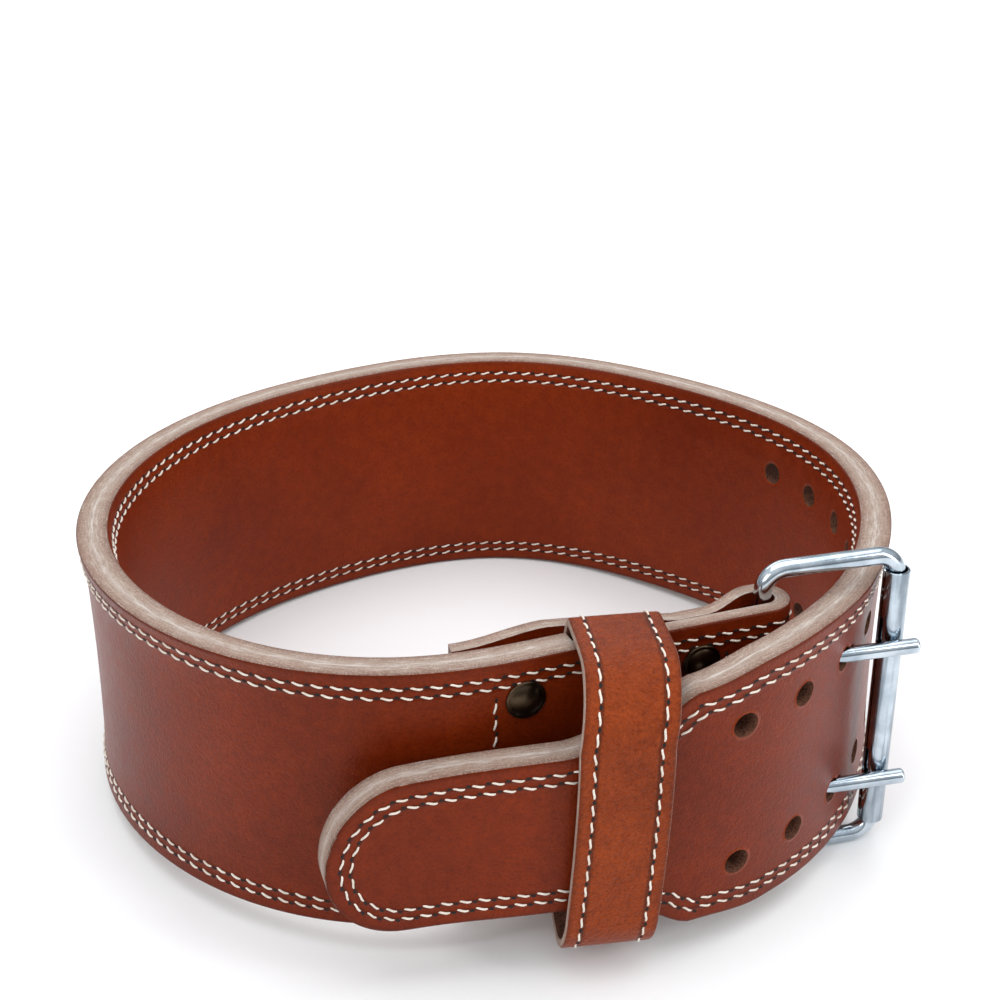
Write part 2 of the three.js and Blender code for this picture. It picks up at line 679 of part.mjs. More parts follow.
/** The belt stands on the lower arm of its buckle and on the far edge of the strap. */
function restOnFloor(belt) {
  const arm = new THREE.Vector2(Math.cos(buckleTurn), Math.sin(buckleTurn));
  const back = new THREE.Vector2(-arm.y, arm.x);
  let reach = 0;
  for (let along = 0; along < WRAP_LENGTH; along += 2) {
    reach = Math.max(reach, strapPoint(along, 0).sub(foldCentre).dot(back));
  }
  const below = FRAME_HEIGHT / 2 + WIRE / 2 - buckleHeight;
  belt.quaternion.setFromAxisAngle(level(arm), Math.atan2(-below, reach));
  belt.updateMatrixWorld(true);
  const box = new THREE.Box3().setFromObject(belt, true);
  const middle = box.getCenter(new THREE.Vector3());
  belt.position.set(-middle.x, -middle.y, -box.min.z);
  return belt;
}

const buckle = new THREE.Group();
buckle.position.set(foldCentre.x, foldCentre.y, buckleHeight);
buckle.rotation.z = buckleTurn;
buckle.add(buckleFrame(), buckleRoller());
buckle.add(prong('prong_upper', prongHeights[0]), prong('prong_lower', prongHeights[1]));

const belt = new THREE.Group();
belt.add(outerStrap(), innerStrap(), keeper(), buckle, ...rivetPlaces().map((rivet) => rivetMesh(rivet)));

export default restOnFloor(belt);
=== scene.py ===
"""Fastened weightlifting belt: leather, stitches, keeper, rivets and roller buckle.

The leather is laid out flat, punched, and then bent along the wrap line. Lengths are
millimetres in the belt's own frame until a piece is made, which turns them into metres
in the row frame.
"""

import logging
import math
import random
from collections.abc import Callable
from dataclasses import dataclass
from enum import Enum
from functools import cached_property

import bmesh
import bpy
import numpy as np
from mathutils import Matrix, Vector

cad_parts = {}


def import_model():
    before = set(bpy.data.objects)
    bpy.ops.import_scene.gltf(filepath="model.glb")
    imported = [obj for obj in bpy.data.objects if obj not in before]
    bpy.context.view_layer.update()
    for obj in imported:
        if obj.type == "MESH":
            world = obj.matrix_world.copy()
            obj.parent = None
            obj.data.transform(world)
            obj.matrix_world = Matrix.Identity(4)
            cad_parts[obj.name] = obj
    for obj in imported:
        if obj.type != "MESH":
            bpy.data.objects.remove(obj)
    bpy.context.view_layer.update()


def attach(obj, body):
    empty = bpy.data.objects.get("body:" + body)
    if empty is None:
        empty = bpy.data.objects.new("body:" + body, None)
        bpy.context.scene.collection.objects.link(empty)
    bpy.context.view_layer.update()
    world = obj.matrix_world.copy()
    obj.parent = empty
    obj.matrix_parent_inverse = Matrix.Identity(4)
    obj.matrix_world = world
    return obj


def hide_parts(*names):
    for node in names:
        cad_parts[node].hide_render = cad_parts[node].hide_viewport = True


LOG = logging.getLogger("belt")
MM = 0.001

# Strap
WRAP_LENGTH = 1038.0
STRAP_WIDTH = 100.0
OUTER_LAYER = 5.6
INNER_LAYER = 5.9
GAP = 0.3
STRAP_THICKNESS = OUTER_LAYER + GAP + INNER_LAYER
JOINT_DEPTH = OUTER_LAYER + GAP / 2
TONGUE_WIDTH = 57.0
TONGUE_LENGTH = 175.0
TONGUE_DROP = 10.5
DROP_LENGTH = 210.0

# Folded buckle end
EYE_ROOM = 8.4
CHAPE_LENGTH = 113.0
CHAPE_CLOSED_FROM = 19.0
CHAPE_CLOSED_TO = 34.5
INNER_START = 72.0
FOLD_LENGTH = math.pi * (EYE_ROOM + OUTER_LAYER) / 2

# Holes, punched in pairs along the strap
HOLE = 9.0
HOLE_PITCH = 25.5
HOLE_ROW_SPACING = 55.0
HOLES_TO_TIP = 2
HOLES_TO_BACK = 6

# Keeper, as far as the folded leather makes room for it
KEEPER_WIDTH = 31.0
KEEPER_LEATHER = 3.2
KEEPER_FROM = 44.0

# Stitches: distances of the long rows from the edge, and places of the cross rows
STITCH_ROWS = (5.4, 8.9)
CROSS_ROWS = (18.0, 101.0)

# Wrap line: its start and heading, and how fast it turns at shares of its length
WRAP_START = (99.0, -95.8, 200.2)
WRAP_TURNS = (
    (0.0, 10.0),
    (0.07, -50.0),
    (0.12, 645.0),
    (0.2, 445.0),
    (0.3, 505.0),
    (0.4, 410.0),
    (0.47, 230.0),
    (0.54, 685.0),
    (0.61, 190.0),
    (0.7, 625.0),
    (0.78, 305.0),
    (0.87, 595.0),
    (0.93, 195.0),
    (0.96, -240.0),
    (1.0, -240.0),
)
CROSSING = (0.12, 0.8)
TONGUE_SHOULDER = ((0.0, 0.0), (0.45, 0.08), (0.6, 0.4), (0.7, 0.82), (0.85, 0.97), (1.0, 1.0))

# Row frame: the belt's own frame tilted to rest on the floor, then centred.
REST = Matrix(
    (
        (0.999942, 0.000217, -0.010769, -0.87422 * MM),
        (0.000217, 0.999191, 0.040221, 8.870725 * MM),
        (0.010769, -0.040221, 0.999133, 5.678187 * MM),
        (0.0, 0.0, 0.0, 1.0),
    )
)


def eased(places: np.ndarray, rows: tuple) -> np.ndarray:
    """Value of a table at some places, eased between its rows.

    Args:
        places: where the value is wanted.
        rows: pairs of place and value.

    Returns:
        The values.
    """
    keys = np.array([row[0] for row in rows])
    values = np.array([row[1] for row in rows])
    high = np.clip(np.searchsorted(keys, places), 1, len(keys) - 1)
    low = high - 1
    share = np.clip((places - keys[low]) / (keys[high] - keys[low]), 0, 1)
    share = share * share * (3 - 2 * share)
    return values[low] + (values[high] - values[low]) * share


class Wrap:
    """The strap's route: flat leather goes in, bent leather comes out."""

    def __init__(self) -> None:
        steps = 1040
        share = (np.arange(steps) + 0.5) / steps
        keys, turns = zip(*WRAP_TURNS)
        turn = np.radians(np.interp(share, keys, turns)) / steps
        heading = math.radians(WRAP_START[2]) - np.concatenate([[0.0], np.cumsum(turn)])
        middle = heading[:-1] - turn / 2
        step = WRAP_LENGTH / steps
        self.along = np.linspace(0, WRAP_LENGTH, steps + 1)
        self.x = WRAP_START[0] + np.concatenate([[0.0], np.cumsum(np.cos(middle) * step)])
        self.y = WRAP_START[1] + np.concatenate([[0.0], np.cumsum(np.sin(middle) * step)])
        self.heading = heading

    def directions(self, along: np.ndarray) -> tuple[np.ndarray, np.ndarray]:
        """Direction of travel and outward side at some places.

        Args:
            along: places on the wrap line.

        Returns:
            Two arrays of plan vectors.
        """
        heading = np.interp(along, self.along, self.heading)
        travel = np.stack([np.cos(heading), np.sin(heading)], -1)
        return travel, np.stack([-travel[..., 1], travel[..., 0]], -1)

    def point(self, along: np.ndarray, depth: np.ndarray) -> np.ndarray:
        """Plan points of the strap.

        Args:
            along: places on the wrap line.
            depth: depths below the outer face.

        Returns:
            Plan points.
        """
        base = np.stack([np.interp(along, self.along, self.x), np.interp(along, self.along, self.y)], -1)
        share = np.clip((along / WRAP_LENGTH - CROSSING[0]) / (CROSSING[1] - CROSSING[0]), 0, 1)
        outward = self.directions(along)[1]
        return base + outward * (STRAP_THICKNESS * share - depth)[..., None]

    def one(self, along: float, depth: float) -> Vector:
        """One plan point of the strap, as a vector."""
        return Vector(self.point(np.array([along]), np.array([depth]))[0])

    def outward_at(self, along: float) -> Vector:
        """Outward side at one place, as a plan vector."""
        return Vector(self.directions(np.array([along]))[1][0])

    @cached_property
    def fold_centre(self) -> Vector:
        """Plan point of the bar that the leather folds round."""
        return self.one(0.0, OUTER_LAYER + EYE_ROOM / 2)

    @cached_property
    def keeper_axes(self) -> tuple[Vector, Vector, Vector]:
        """Middle of the keeper's back pass, its width direction and its forward one."""
        right = self.one(KEEPER_FROM, OUTER_LAYER + GAP)
        lean = self.one(INNER_START, STRAP_THICKNESS + GAP)
        across = (right - lean).normalized()
        return right - across * KEEPER_WIDTH / 2, across, Vector((across.y, -across.x))

    def room(self, along: np.ndarray) -> np.ndarray:
        """Room between the outer layer and the chape."""
        middle, _, forward = self.keeper_axes

        def back_pass(place: float) -> float:
            ahead = (self.one(place, OUTER_LAYER) - middle).dot(forward) + KEEPER_LEATHER + 2 * GAP
            return ahead / self.outward_at(place).dot(forward)

        start, end = KEEPER_FROM - 1.5, KEEPER_FROM + KEEPER_WIDTH + 1.5
        rows = (
            (0.0, EYE_ROOM),
            (2.0, EYE_ROOM),
            (CHAPE_CLOSED_FROM + 4.0, 0.05),
            (CHAPE_CLOSED_TO, 0.05),
            (start, back_pass(start)),
            (end, back_pass(end)),
            (CHAPE_LENGTH, INNER_LAYER + 2 * GAP),
        )
        straight = np.interp(along, [row[0] for row in rows], [row[1] for row in rows])
        return np.where((along > start) & (along < end), straight, eased(along, rows))

    def flare(self, along: np.ndarray, height: np.ndarray) -> np.ndarray:
        """How far the wall stands out from upright: hollow in its middle, flared at its edges."""
        top = 1.9 * np.clip((height - 80) / 20, 0, 1) ** 2
        bottom = 1.0 * np.clip((20 - height) / 20, 0, 1) ** 2
        hollow = 1.1 * np.sin(np.pi * np.clip(height / STRAP_WIDTH, 0, 1))
        share = np.clip((along - 125) / 90, 0, 1) * np.clip((WRAP_LENGTH - 150 - along) / 60, 0, 1)
        return (top + bottom - hollow) * share * share * (3 - 2 * share)

    def lay(self, flat: np.ndarray) -> np.ndarray:
        """Bends flat leather.

        Args:
            flat: rows of place along the leather, height, and depth from the grain side of
                the outer layer. A place below zero lies round the bar and on the chape.

        Returns:
            Points in the belt's frame.
        """
        place, height, depth = flat[:, 0], flat[:, 1], flat[:, 2]
        back = place <= -FOLD_LENGTH
        along = np.where(back, -FOLD_LENGTH - place, np.maximum(place, 0))
        below = np.where(back, 2 * OUTER_LAYER + self.room(along) - depth, depth)
        plan = self.point(along, below - np.where(place > 0, self.flare(along, height), 0))
        angle = np.pi * np.clip(-place / FOLD_LENGTH, 0, 1)[:, None]
        travel, outward = self.directions(np.array([0.0]))
        reach = (EYE_ROOM / 2 + OUTER_LAYER - depth)[:, None]
        fold = np.array(self.fold_centre) + reach * (outward * np.cos(angle) - travel * np.sin(angle))
        folding = (place < 0) & ~back
        plan = np.where(folding[:, None], fold, plan)
        return np.column_stack([plan, height])


WRAP = Wrap()


def middle_height(place: np.ndarray) -> np.ndarray:
    """Height of the middle of the strap, lower towards the tip."""
    bend = np.clip(1 - (WRAP_LENGTH - place) / DROP_LENGTH, 0, 1)
    return STRAP_WIDTH / 2 - TONGUE_DROP * bend**2


def half_width(place: np.ndarray) -> np.ndarray:
    """Half width of the strap, with the shoulders and the round tip of the tongue."""
    from_tip = WRAP_LENGTH - place
    widening = eased(from_tip / TONGUE_LENGTH, TONGUE_SHOULDER)
    half = (TONGUE_WIDTH + (STRAP_WIDTH - TONGUE_WIDTH) * widening) / 2
    beyond = np.clip(1 - from_tip / (TONGUE_WIDTH / 2), 0, 1)
    return np.maximum(half * np.sqrt(1 - beyond**2), 0.6)


def outline(start: float, inset: float) -> np.ndarray:
    """Line that follows the strap's edge at a distance, from its start round the tip and back.

    Args:
        start: place along the leather where the line begins and ends.
        inset: distance from the edge.

    Returns:
        Rows of place and height, about a millimetre apart.
    """
    radius = TONGUE_WIDTH / 2
    places = np.arange(start, WRAP_LENGTH - radius, 1.0)
    angles = np.linspace(0, np.pi / 2, 40)
    places = np.concatenate([places, WRAP_LENGTH - radius + radius * np.sin(angles)])
    top = np.column_stack([places, middle_height(places) + half_width(places)])
    bottom = np.column_stack([places, middle_height(places) - half_width(places)])[::-1]
    line = np.concatenate([top, bottom[1:]])
    tangent = np.gradient(line, axis=0)
    tangent /= np.maximum(np.linalg.norm(tangent, axis=1), 1e-9)[:, None]
    inner = line + inset * np.column_stack([tangent[:, 1], -tangent[:, 0]])
    return inner


def rim_distance(flat: np.ndarray, start: float) -> np.ndarray:
    """Distance of flat leather from its cut edge.

    Args:
        flat: rows of place, height and depth.
        start: where the leather begins.

    Returns:
        Distances.
    """
    place, height = flat[:, 0], flat[:, 1]
    away = half_width(place) - np.abs(height - middle_height(place))
    near = place > WRAP_LENGTH - TONGUE_LENGTH - 5
    edge = outline(WRAP_LENGTH - TONGUE_LENGTH - 20, 0)
    for index in np.flatnonzero(near):
        offsets = edge - flat[index, :2]
        away[index] = math.sqrt((offsets**2).sum(axis=1).min())
    return np.minimum(np.maximum(away, 0), place - start)


class Surface(Enum):
    """Kinds of leather surface; the value is its material's place on the piece."""

    GRAIN = 0
    EDGE = 1
    BORE = 2


def srgb(code: str) -> tuple[float, float, float, float]:
    """Linear colour of an sRGB hex code.

    Args:
        code: six hex digits.

    Returns:
        Red, green, blue and alpha.
    """
    parts = [int(code[i : i + 2], 16) / 255 for i in (0, 2, 4)]
    line = [c / 12.92 if c <= 0.04045 else ((c + 0.055) / 1.055) ** 2.4 for c in parts]
    return (*line, 1.0)


def fill(tree: bpy.types.NodeTree, made: bpy.types.Node, values: dict) -> None:
    """Sets or links inputs of a node.

    Args:
        tree: the node's tree.
        made: the node.
        values: input name or number to an output socket or a plain value.
    """
    for key, value in values.items():
        if isinstance(value, bpy.types.NodeSocket):
            tree.links.new(value, made.inputs[key])
        else:
            made.inputs[key].default_value = value


def node(
    tree: bpy.types.NodeTree, kind: str, values: dict | None = None, out: int | str = 0, **settings: object
) -> bpy.types.NodeSocket:
    """Adds a shader node.

    Args:
        tree: the material's node tree.
        kind: node type without its ShaderNode prefix.
        values: input name or number to an output socket or a plain value.
        out: name or number of the wanted output.
        settings: properties of the node.

    Returns:
        The wanted output.
    """
    made = tree.nodes.new("ShaderNode" + kind)
    for key, value in settings.items():
        setattr(made, key, value)
    fill(tree, made, values or {})
    return made.outputs[out]


def tint(
    tree: bpy.types.NodeTree,
    colour: bpy.types.NodeSocket | tuple,
    pattern: bpy.types.NodeSocket,
    span: tuple[float, float],
    strength: tuple[float, float],
    code: str,
) -> bpy.types.NodeSocket:
    """Mixes another colour in, as a pattern runs through a span.

    Args:
        tree: the material's node tree.
        colour: the colour so far.
        pattern: the pattern's value.
        span: the two values between which the strength changes.
        strength: share of the other colour at both.
        code: the other colour's hex digits.

    Returns:
        The mixed colour.
    """
    share = node(tree, "MapRange", {0: pattern, 1: span[0], 2: span[1], 3: strength[0], 4: strength[1]})
    return node(tree, "Mix", {0: share, 6: colour, 7: srgb(code)}, 2, data_type="RGBA")


@dataclass(frozen=True)
class Finish:
    """A material; the kinds of finish below dress its shader."""

    name: str

    def make(self) -> bpy.types.Material:
        """Builds the material.

        Returns:
            The material.
        """
        material = bpy.data.materials.new(self.name)
        material.use_nodes = True
        tree = material.node_tree
        place = node(tree, "TexCoord", out="Object")
        fill(tree, tree.nodes["Principled BSDF"], self.dress(tree, place))
        return material

    def dress(self, tree: bpy.types.NodeTree, place: bpy.types.NodeSocket) -> dict:
        """Makes the patterns of the finish.

        Args:
            tree: the material's node tree.
            place: the piece's own coordinates, in metres.

        Returns:
            The shader's inputs and their values or sockets.
        """
        raise NotImplementedError

    @staticmethod
    def patterns(tree: bpy.types.NodeTree, vector: bpy.types.NodeSocket, *rows: tuple) -> list:
        """Noises of several grain sizes on one set of coordinates.

        Args:
            tree: the material's node tree.
            vector: the coordinates.
            rows: grain size in millimetres, detail, and further inputs of each noise.

        Returns:
            Their values.
        """
        return [
            node(tree, "TexNoise", {"Vector": vector, "Scale": 1 / (size * MM), "Detail": detail, **more})
            for size, detail, more in rows
        ]


@dataclass(frozen=True)
class LeatherFinish(Finish):
    """Bridle leather: dyed through, waxed and glazed on its grain side.

    The wax gives it a soft broad sheen. The dye clouds, and is darker at the rim and in the pores.
    Where the stitches are pulled in it is darker, partly from the pressing and partly as painted
    shade in the groove. The lighter ring round each punched hole is a painted highlight on its
    rounded lip.
    """

    light: str
    dark: str
    roughness: float
    grooves: tuple = ()
    coarse: float = 1.0
    punched_at: float | None = None

    def hole_distance(self, tree: bpy.types.NodeTree) -> bpy.types.NodeSocket:
        """Distance in millimetres from the middle of the nearest punched hole.

        Args:
            tree: the material's node tree.

        Returns:
            The distance.
        """
        flat = node(tree, "UVMap", uv_map="flat")
        x, y = (node(tree, "SeparateXYZ", {0: flat}, axis) for axis in "XY")
        start = -self.punched_at / HOLE_PITCH
        column = node(tree, "Math", {0: x, 1: 1 / (HOLE_PITCH * MM), 2: start}, operation="MULTIPLY_ADD")
        nearest = node(tree, "Math", {0: column}, operation="ROUND")
        nearest = node(tree, "Clamp", {0: nearest, 1: -float(HOLES_TO_BACK), 2: float(HOLES_TO_TIP)})
        aside = node(tree, "Math", {0: column, 1: nearest}, operation="SUBTRACT")
        aside = node(tree, "Math", {0: aside, 1: HOLE_PITCH}, operation="MULTIPLY")
        across = node(tree, "Math", {0: y}, operation="ABSOLUTE")
        row = -HOLE_ROW_SPACING / 2
        rise = node(tree, "Math", {0: across, 1: 1 / MM, 2: row}, operation="MULTIPLY_ADD")
        offset = node(tree, "CombineXYZ", {0: aside, 1: rise})
        return node(tree, "VectorMath", {0: offset}, "Value", operation="LENGTH")

    def dress(self, tree: bpy.types.NodeTree, place: bpy.types.NodeSocket) -> dict:
        """Makes the dye, the grain and the pressed lines.

        Args:
            tree: the material's node tree.
            place: the piece's own coordinates, in metres.

        Returns:
            The shader's inputs and their values or sockets.
        """
        # Real pores are about a tenth of a millimetre: they are drawn coarser, to show at all.
        cloud, mottle, fine, pull = self.patterns(
            tree, place, (60, 3.0, {}), (5, 4.0, {}), (1.1, 4.0, {"Roughness": 0.7}),
            (1.9, 3.0, {"Distortion": 0.8}),
        )
        pores = node(tree, "TexVoronoi", {"Vector": place, "Scale": 1 / (0.75 * MM)})
        rim = node(tree, "Attribute", out="Fac", attribute_name="rim")
        tone = node(tree, "Math", {0: mottle, 1: 0.4}, operation="MULTIPLY")
        tone = node(tree, "Math", {0: cloud, 1: 0.6, 2: tone}, operation="MULTIPLY_ADD")
        tints = [
            (tone, (0.34, 0.66), (0, 1), self.light),
            (rim, (0.4, 2.2), (0.5, 0), "2A0C04"),
            (fine, (0.4, 0.62), (0, 0.55), self.dark),
            (fine, (0.56, 0.7), (0, 0.4), "3C0F03"),
            (pull, (0.45, 0.7), (0, 0.25 * self.coarse), self.light),
        ]
        dips = []
        if self.punched_at is not None:
            away = self.hole_distance(tree)
            dips.append((away, (HOLE / 2 - 0.2, HOLE / 2 + 1.0), 0.8, 0.7))
        for groove in self.grooves:
            aside = node(tree, "Math", {0: rim, 1: groove}, operation="SUBTRACT")
            aside = node(tree, "Math", {0: aside}, operation="ABSOLUTE")
            # Darker line along the stitch row: partly pressed leather, partly painted shade in the groove.
            tints.append((aside, (0.25, 0.9), (0.55, 0), "250A04"))
            dips.append((aside, (0.2, 1.3), 0.55, 0.35))
        # Lighter ring round each punched hole: a painted highlight on its rounded lip.
        if self.punched_at is not None:
            tints.append((away, (HOLE / 2 + 0.1, HOLE / 2 + 1.2), (0.45, 0), "943C14"))
        colour = srgb(self.dark)
        for row in tints:
            colour = tint(tree, colour, *row)
        height = node(tree, "Math", {0: pores, 1: 0.6}, operation="MULTIPLY")
        for pattern, weight in ((pull, 1.2 * self.coarse), (fine, 0.5)):
            height = node(tree, "Math", {0: pattern, 1: weight, 2: height}, operation="MULTIPLY_ADD")
        depth = 0.26 * self.coarse**1.7 * MM
        normal = node(tree, "Bump", {"Strength": 0.55, "Distance": depth, "Height": height})
        for pattern, span, strength, deep in dips:
            dip = node(tree, "MapRange", {0: pattern, 1: span[0], 2: span[1]})
            bump = {"Strength": strength, "Distance": deep * MM, "Height": dip, "Normal": normal}
            normal = node(tree, "Bump", bump)
        rough = node(tree, "Math", {0: mottle, 1: 0.16, 2: self.roughness - 0.08}, operation="MULTIPLY_ADD")
        gloss = {"Specular IOR Level": 0.2, "Specular Tint": srgb("FFDCC8")}
        return {"Base Color": colour, "Roughness": rough, "Normal": normal, **gloss}


@dataclass(frozen=True)
class EdgeFinish(Finish):
    """Cut edge, trimmed and left raw.

    Undyed fibres make it pale and dull, browner where the dye and the wax crept in from the
    faces, and lighter along the cemented joint of two layers. The pale middle and the darker
    borders are also painted light and shade of the slightly crowned cut.
    """

    layered: bool

    def dress(self, tree: bpy.types.NodeTree, place: bpy.types.NodeSocket) -> dict:
        """Makes the layers and the fibres of the cut.

        Args:
            tree: the material's node tree.
            place: the piece's own coordinates, in metres.

        Returns:
            The shader's inputs and their values or sockets.
        """
        flat = node(tree, "UVMap", uv_map="flat")
        depth = node(tree, "SeparateXYZ", {0: flat}, "Y")
        wander, patch, grit = self.patterns(tree, place, (7, 2.0, {}), (8, 3.0, {}), (0.6, 3.0, {}))
        total = STRAP_THICKNESS if self.layered else OUTER_LAYER
        drift = node(tree, "MapRange", {0: wander, 1: 0.3, 2: 0.7, 3: -0.035, 4: 0.035})
        share = node(tree, "Math", {0: depth, 1: 1 / (total * MM), 2: drift}, operation="MULTIPLY_ADD")
        # Palest in the middle, browner towards both faces: partly dye and wax, partly painted light and shade
        # of the crowned cut.
        stops = [(0.0, "5E3C2C"), (0.1, "7E6254"), (0.24, "998273"), (0.42, "A99A8E"), (0.5, "C6BDB4")]
        stops += [(0.58, "AD9E92"), (0.78, "968072"), (0.9, "785C4E"), (1.0, "58382A")]
        if not self.layered:
            stops = [(0.0, "6E4436"), (0.16, "957567"), (0.45, "B7A093"), (0.85, "A68B7D"), (1.0, "8B6A5B")]
        colour = node(tree, "ValToRGB", {0: share})
        elements = colour.node.color_ramp.elements
        while len(elements) < len(stops):
            elements.new(0.5)
        for element, (position, code) in zip(elements, stops):
            element.position = position
            element.color = srgb(code)
        # The fibres lie along the cut, so their pattern is drawn out ten times that way.
        stretch = node(tree, "Mapping", {"Vector": flat, "Scale": (0.1, 1.0, 1.0)})
        fibre, strand = self.patterns(
            tree, stretch, (0.5, 5.0, {"Roughness": 0.75}), (0.9, 4.0, {"Distortion": 0.4})
        )
        for row in (
            (strand, (0.36, 0.6), (0.45, 0), "8A6C5E"),
            (fibre, (0.36, 0.58), (0.6, 0), "6E5346"),
            (strand, (0.56, 0.74), (0, 0.3), "DDD5CE"),
            (patch, (0.5, 0.72), (0, 0.3), "8E6C5B"),
            (grit, (0.5, 0.66), (0, 0.35), "C9B7AA"),
        ):
            colour = tint(tree, colour, *row)
        normal = node(tree, "Bump", {"Strength": 0.8, "Distance": 0.4 * MM, "Height": fibre})
        return {"Base Color": colour, "Roughness": 0.8, "Normal": normal}


@dataclass(frozen=True)
class FibreFinish(Finish):
    """Punched or unfinished leather: loose brown fibres with no gloss. Made near black, it paints shadow."""

    light: str
    dark: str

    def dress(self, tree: bpy.types.NodeTree, place: bpy.types.NodeSocket) -> dict:
        """Makes the nap.

        Args:
            tree: the material's node tree.
            place: the piece's own coordinates, in metres.

        Returns:
            The shader's inputs and their values or sockets.
        """
        nap = self.patterns(tree, place, (0.7, 5.0, {}))[0]
        colour = tint(tree, srgb(self.dark), nap, (0.35, 0.65), (0, 1), self.light)
        normal = node(tree, "Bump", {"Strength": 0.7, "Distance": 0.3 * MM, "Height": nap})
        return {"Base Color": colour, "Roughness": 0.85, "Normal": normal}


@dataclass(frozen=True)
class ThreadFinish(Finish):
    """Waxed polyester thread, twisted and natural white: a faint gloss, soiled here and there."""

    def dress(self, tree: bpy.types.NodeTree, place: bpy.types.NodeSocket) -> dict:
        """Makes the twist and the soiling.

        Args:
            tree: the material's node tree.
            place: the piece's own coordinates, in metres.

        Returns:
            The shader's inputs and their values or sockets.
        """
        # The real twist is about half a millimetre; it is drawn coarser, to show.
        wave = {"Vector": place, "Scale": 1 / (1.9 * MM), "Distortion": 1.5}
        twist = node(tree, "TexWave", wave, "Fac", bands_direction="DIAGONAL")
        soil = self.patterns(tree, place, (12, 3.0, {}))[0]
        colour = tint(tree, srgb("E4DACD"), soil, (0.4, 0.7), (0, 0.5), "B9A592")
        normal = node(tree, "Bump", {"Strength": 0.5, "Distance": 0.15 * MM, "Height": twist})
        return {"Base Color": colour, "Roughness": 0.55, "Normal": normal}


@dataclass(frozen=True)
class MetalFinish(Finish):
    """Plated steel: a cloudy polish with faint handling marks and, on tube, dark lengthwise streaks of
    painted reflection.
    """

    light: str
    dark: str
    roughness: float
    reflection_streaks: float = 0.0

    def dress(self, tree: bpy.types.NodeTree, place: bpy.types.NodeSocket) -> dict:
        """Makes the polish, the marks and the painted reflection streaks.

        Args:
            tree: the material's node tree.
            place: the piece's own coordinates, in metres.

        Returns:
            The shader's inputs and their values or sockets.
        """
        cloud, mark = self.patterns(tree, place, (9, 3.0, {}), (0.8, 3.0, {}))
        # Dark lengthwise streaks on the tube: painted reflections of the dim surround.
        drawn = node(tree, "Mapping", {"Vector": place, "Scale": (1.0, 1.0, 0.05)})
        streak = self.patterns(tree, drawn, (2.2, 3.0, {"Distortion": 0.4}))[0]
        colour = tint(tree, srgb(self.dark), cloud, (0.35, 0.65), (0, 1), self.light)
        colour = tint(tree, colour, streak, (0.42, 0.62), (0, self.reflection_streaks), "3C4650")
        rough = node(tree, "Math", {0: cloud, 1: 0.1, 2: self.roughness - 0.05}, operation="MULTIPLY_ADD")
        normal = node(tree, "Bump", {"Strength": 0.12, "Distance": 0.05 * MM, "Height": mark})
        return {"Base Color": colour, "Metallic": 1.0, "Roughness": rough, "Normal": normal}


@dataclass(frozen=True)
class FloorFinish(Finish):
    """Matt pale board."""

    def dress(self, tree: bpy.types.NodeTree, place: bpy.types.NodeSocket) -> dict:
        """Plain colour; neither the tree nor the place is used."""
        return {"Base Color": srgb("F4F4F4"), "Roughness": 0.7}


@dataclass(frozen=True)
class Finishes:
    """All the belt's materials."""

    outer: bpy.types.Material
    inner: bpy.types.Material
    keeper: bpy.types.Material
    edge: bpy.types.Material
    single_edge: bpy.types.Material
    bore: bpy.types.Material
    needle: bpy.types.Material
    thread: bpy.types.Material
    nickel: bpy.types.Material
    tube: bpy.types.Material
    antique: bpy.types.Material

    @staticmethod
    def build(punched_at: float) -> "Finishes":
        """Makes each finish once.

        Args:
            punched_at: place along the strap of the holes that the prongs pass.

        Returns:
            The finishes.
        """
        strap = (STITCH_ROWS, 1.0, punched_at)
        finishes = {
            # Bridle leather, glazed: chestnut with a broad sheen. The lining is duller and redder.
            "outer": LeatherFinish("chestnut_bridle_leather", "782706", "571602", 0.36, *strap),
            "inner": LeatherFinish("chestnut_lining_leather", "862E07", "681D03", 0.42, *strap),
            # Thinner, looser leather for the loop: its grain stands up in small bumps.
            "keeper": LeatherFinish("chestnut_keeper_leather", "903A10", "672306", 0.38, (5.5,), 2.0),
            "edge": EdgeFinish("pale_cut_edge", True),
            "single_edge": EdgeFinish("pale_single_edge", False),
            # Punched walls, also the keeper's flesh side: loose brown fibre, kept dark as painted shade
            # inside the holes.
            "bore": FibreFinish("punched_hole_fibre_and_shade", "7A4C34", "3A1D12"),
            "needle": FibreFinish("needle_hole_shadow", "0C0403", "050201"),
            "thread": ThreadFinish("natural_waxed_thread"),
            # Nickel plate on polished wire: a cool, nearly sharp mirror. The tube is a bit duller, with dark
            # streaks of painted reflection.
            "nickel": MetalFinish("polished_nickel_plate", "C6CFD7", "9FABB5", 0.13),
            "tube": MetalFinish("drawn_nickel_tube", "C2CCD5", "A3AFB9", 0.16, 0.5),
            # Plate darkened in a bath and waxed: nearly black, with a brown glint.
            "antique": MetalFinish("antique_dark_nickel_plate", "5A4A3A", "33291F", 0.3),
        }
        return Finishes(**{name: finish.make() for name, finish in finishes.items()})


def to_row(points: np.ndarray) -> np.ndarray:
    """Belt frame in millimetres to row frame in metres."""
    turn = np.array(REST.to_3x3())
    return points * MM @ turn.T + np.array(REST.translation)


def coordinates(bm: bmesh.types.BMesh) -> np.ndarray:
    """Coordinates of all vertices."""
    return np.array([vertex.co for vertex in bm.verts], dtype=float).reshape(-1, 3)


def place_vertices(bm: bmesh.types.BMesh, points: np.ndarray) -> None:
    """Moves all vertices to new points."""
    for vertex, point in zip(bm.verts, points):
        vertex.co = point


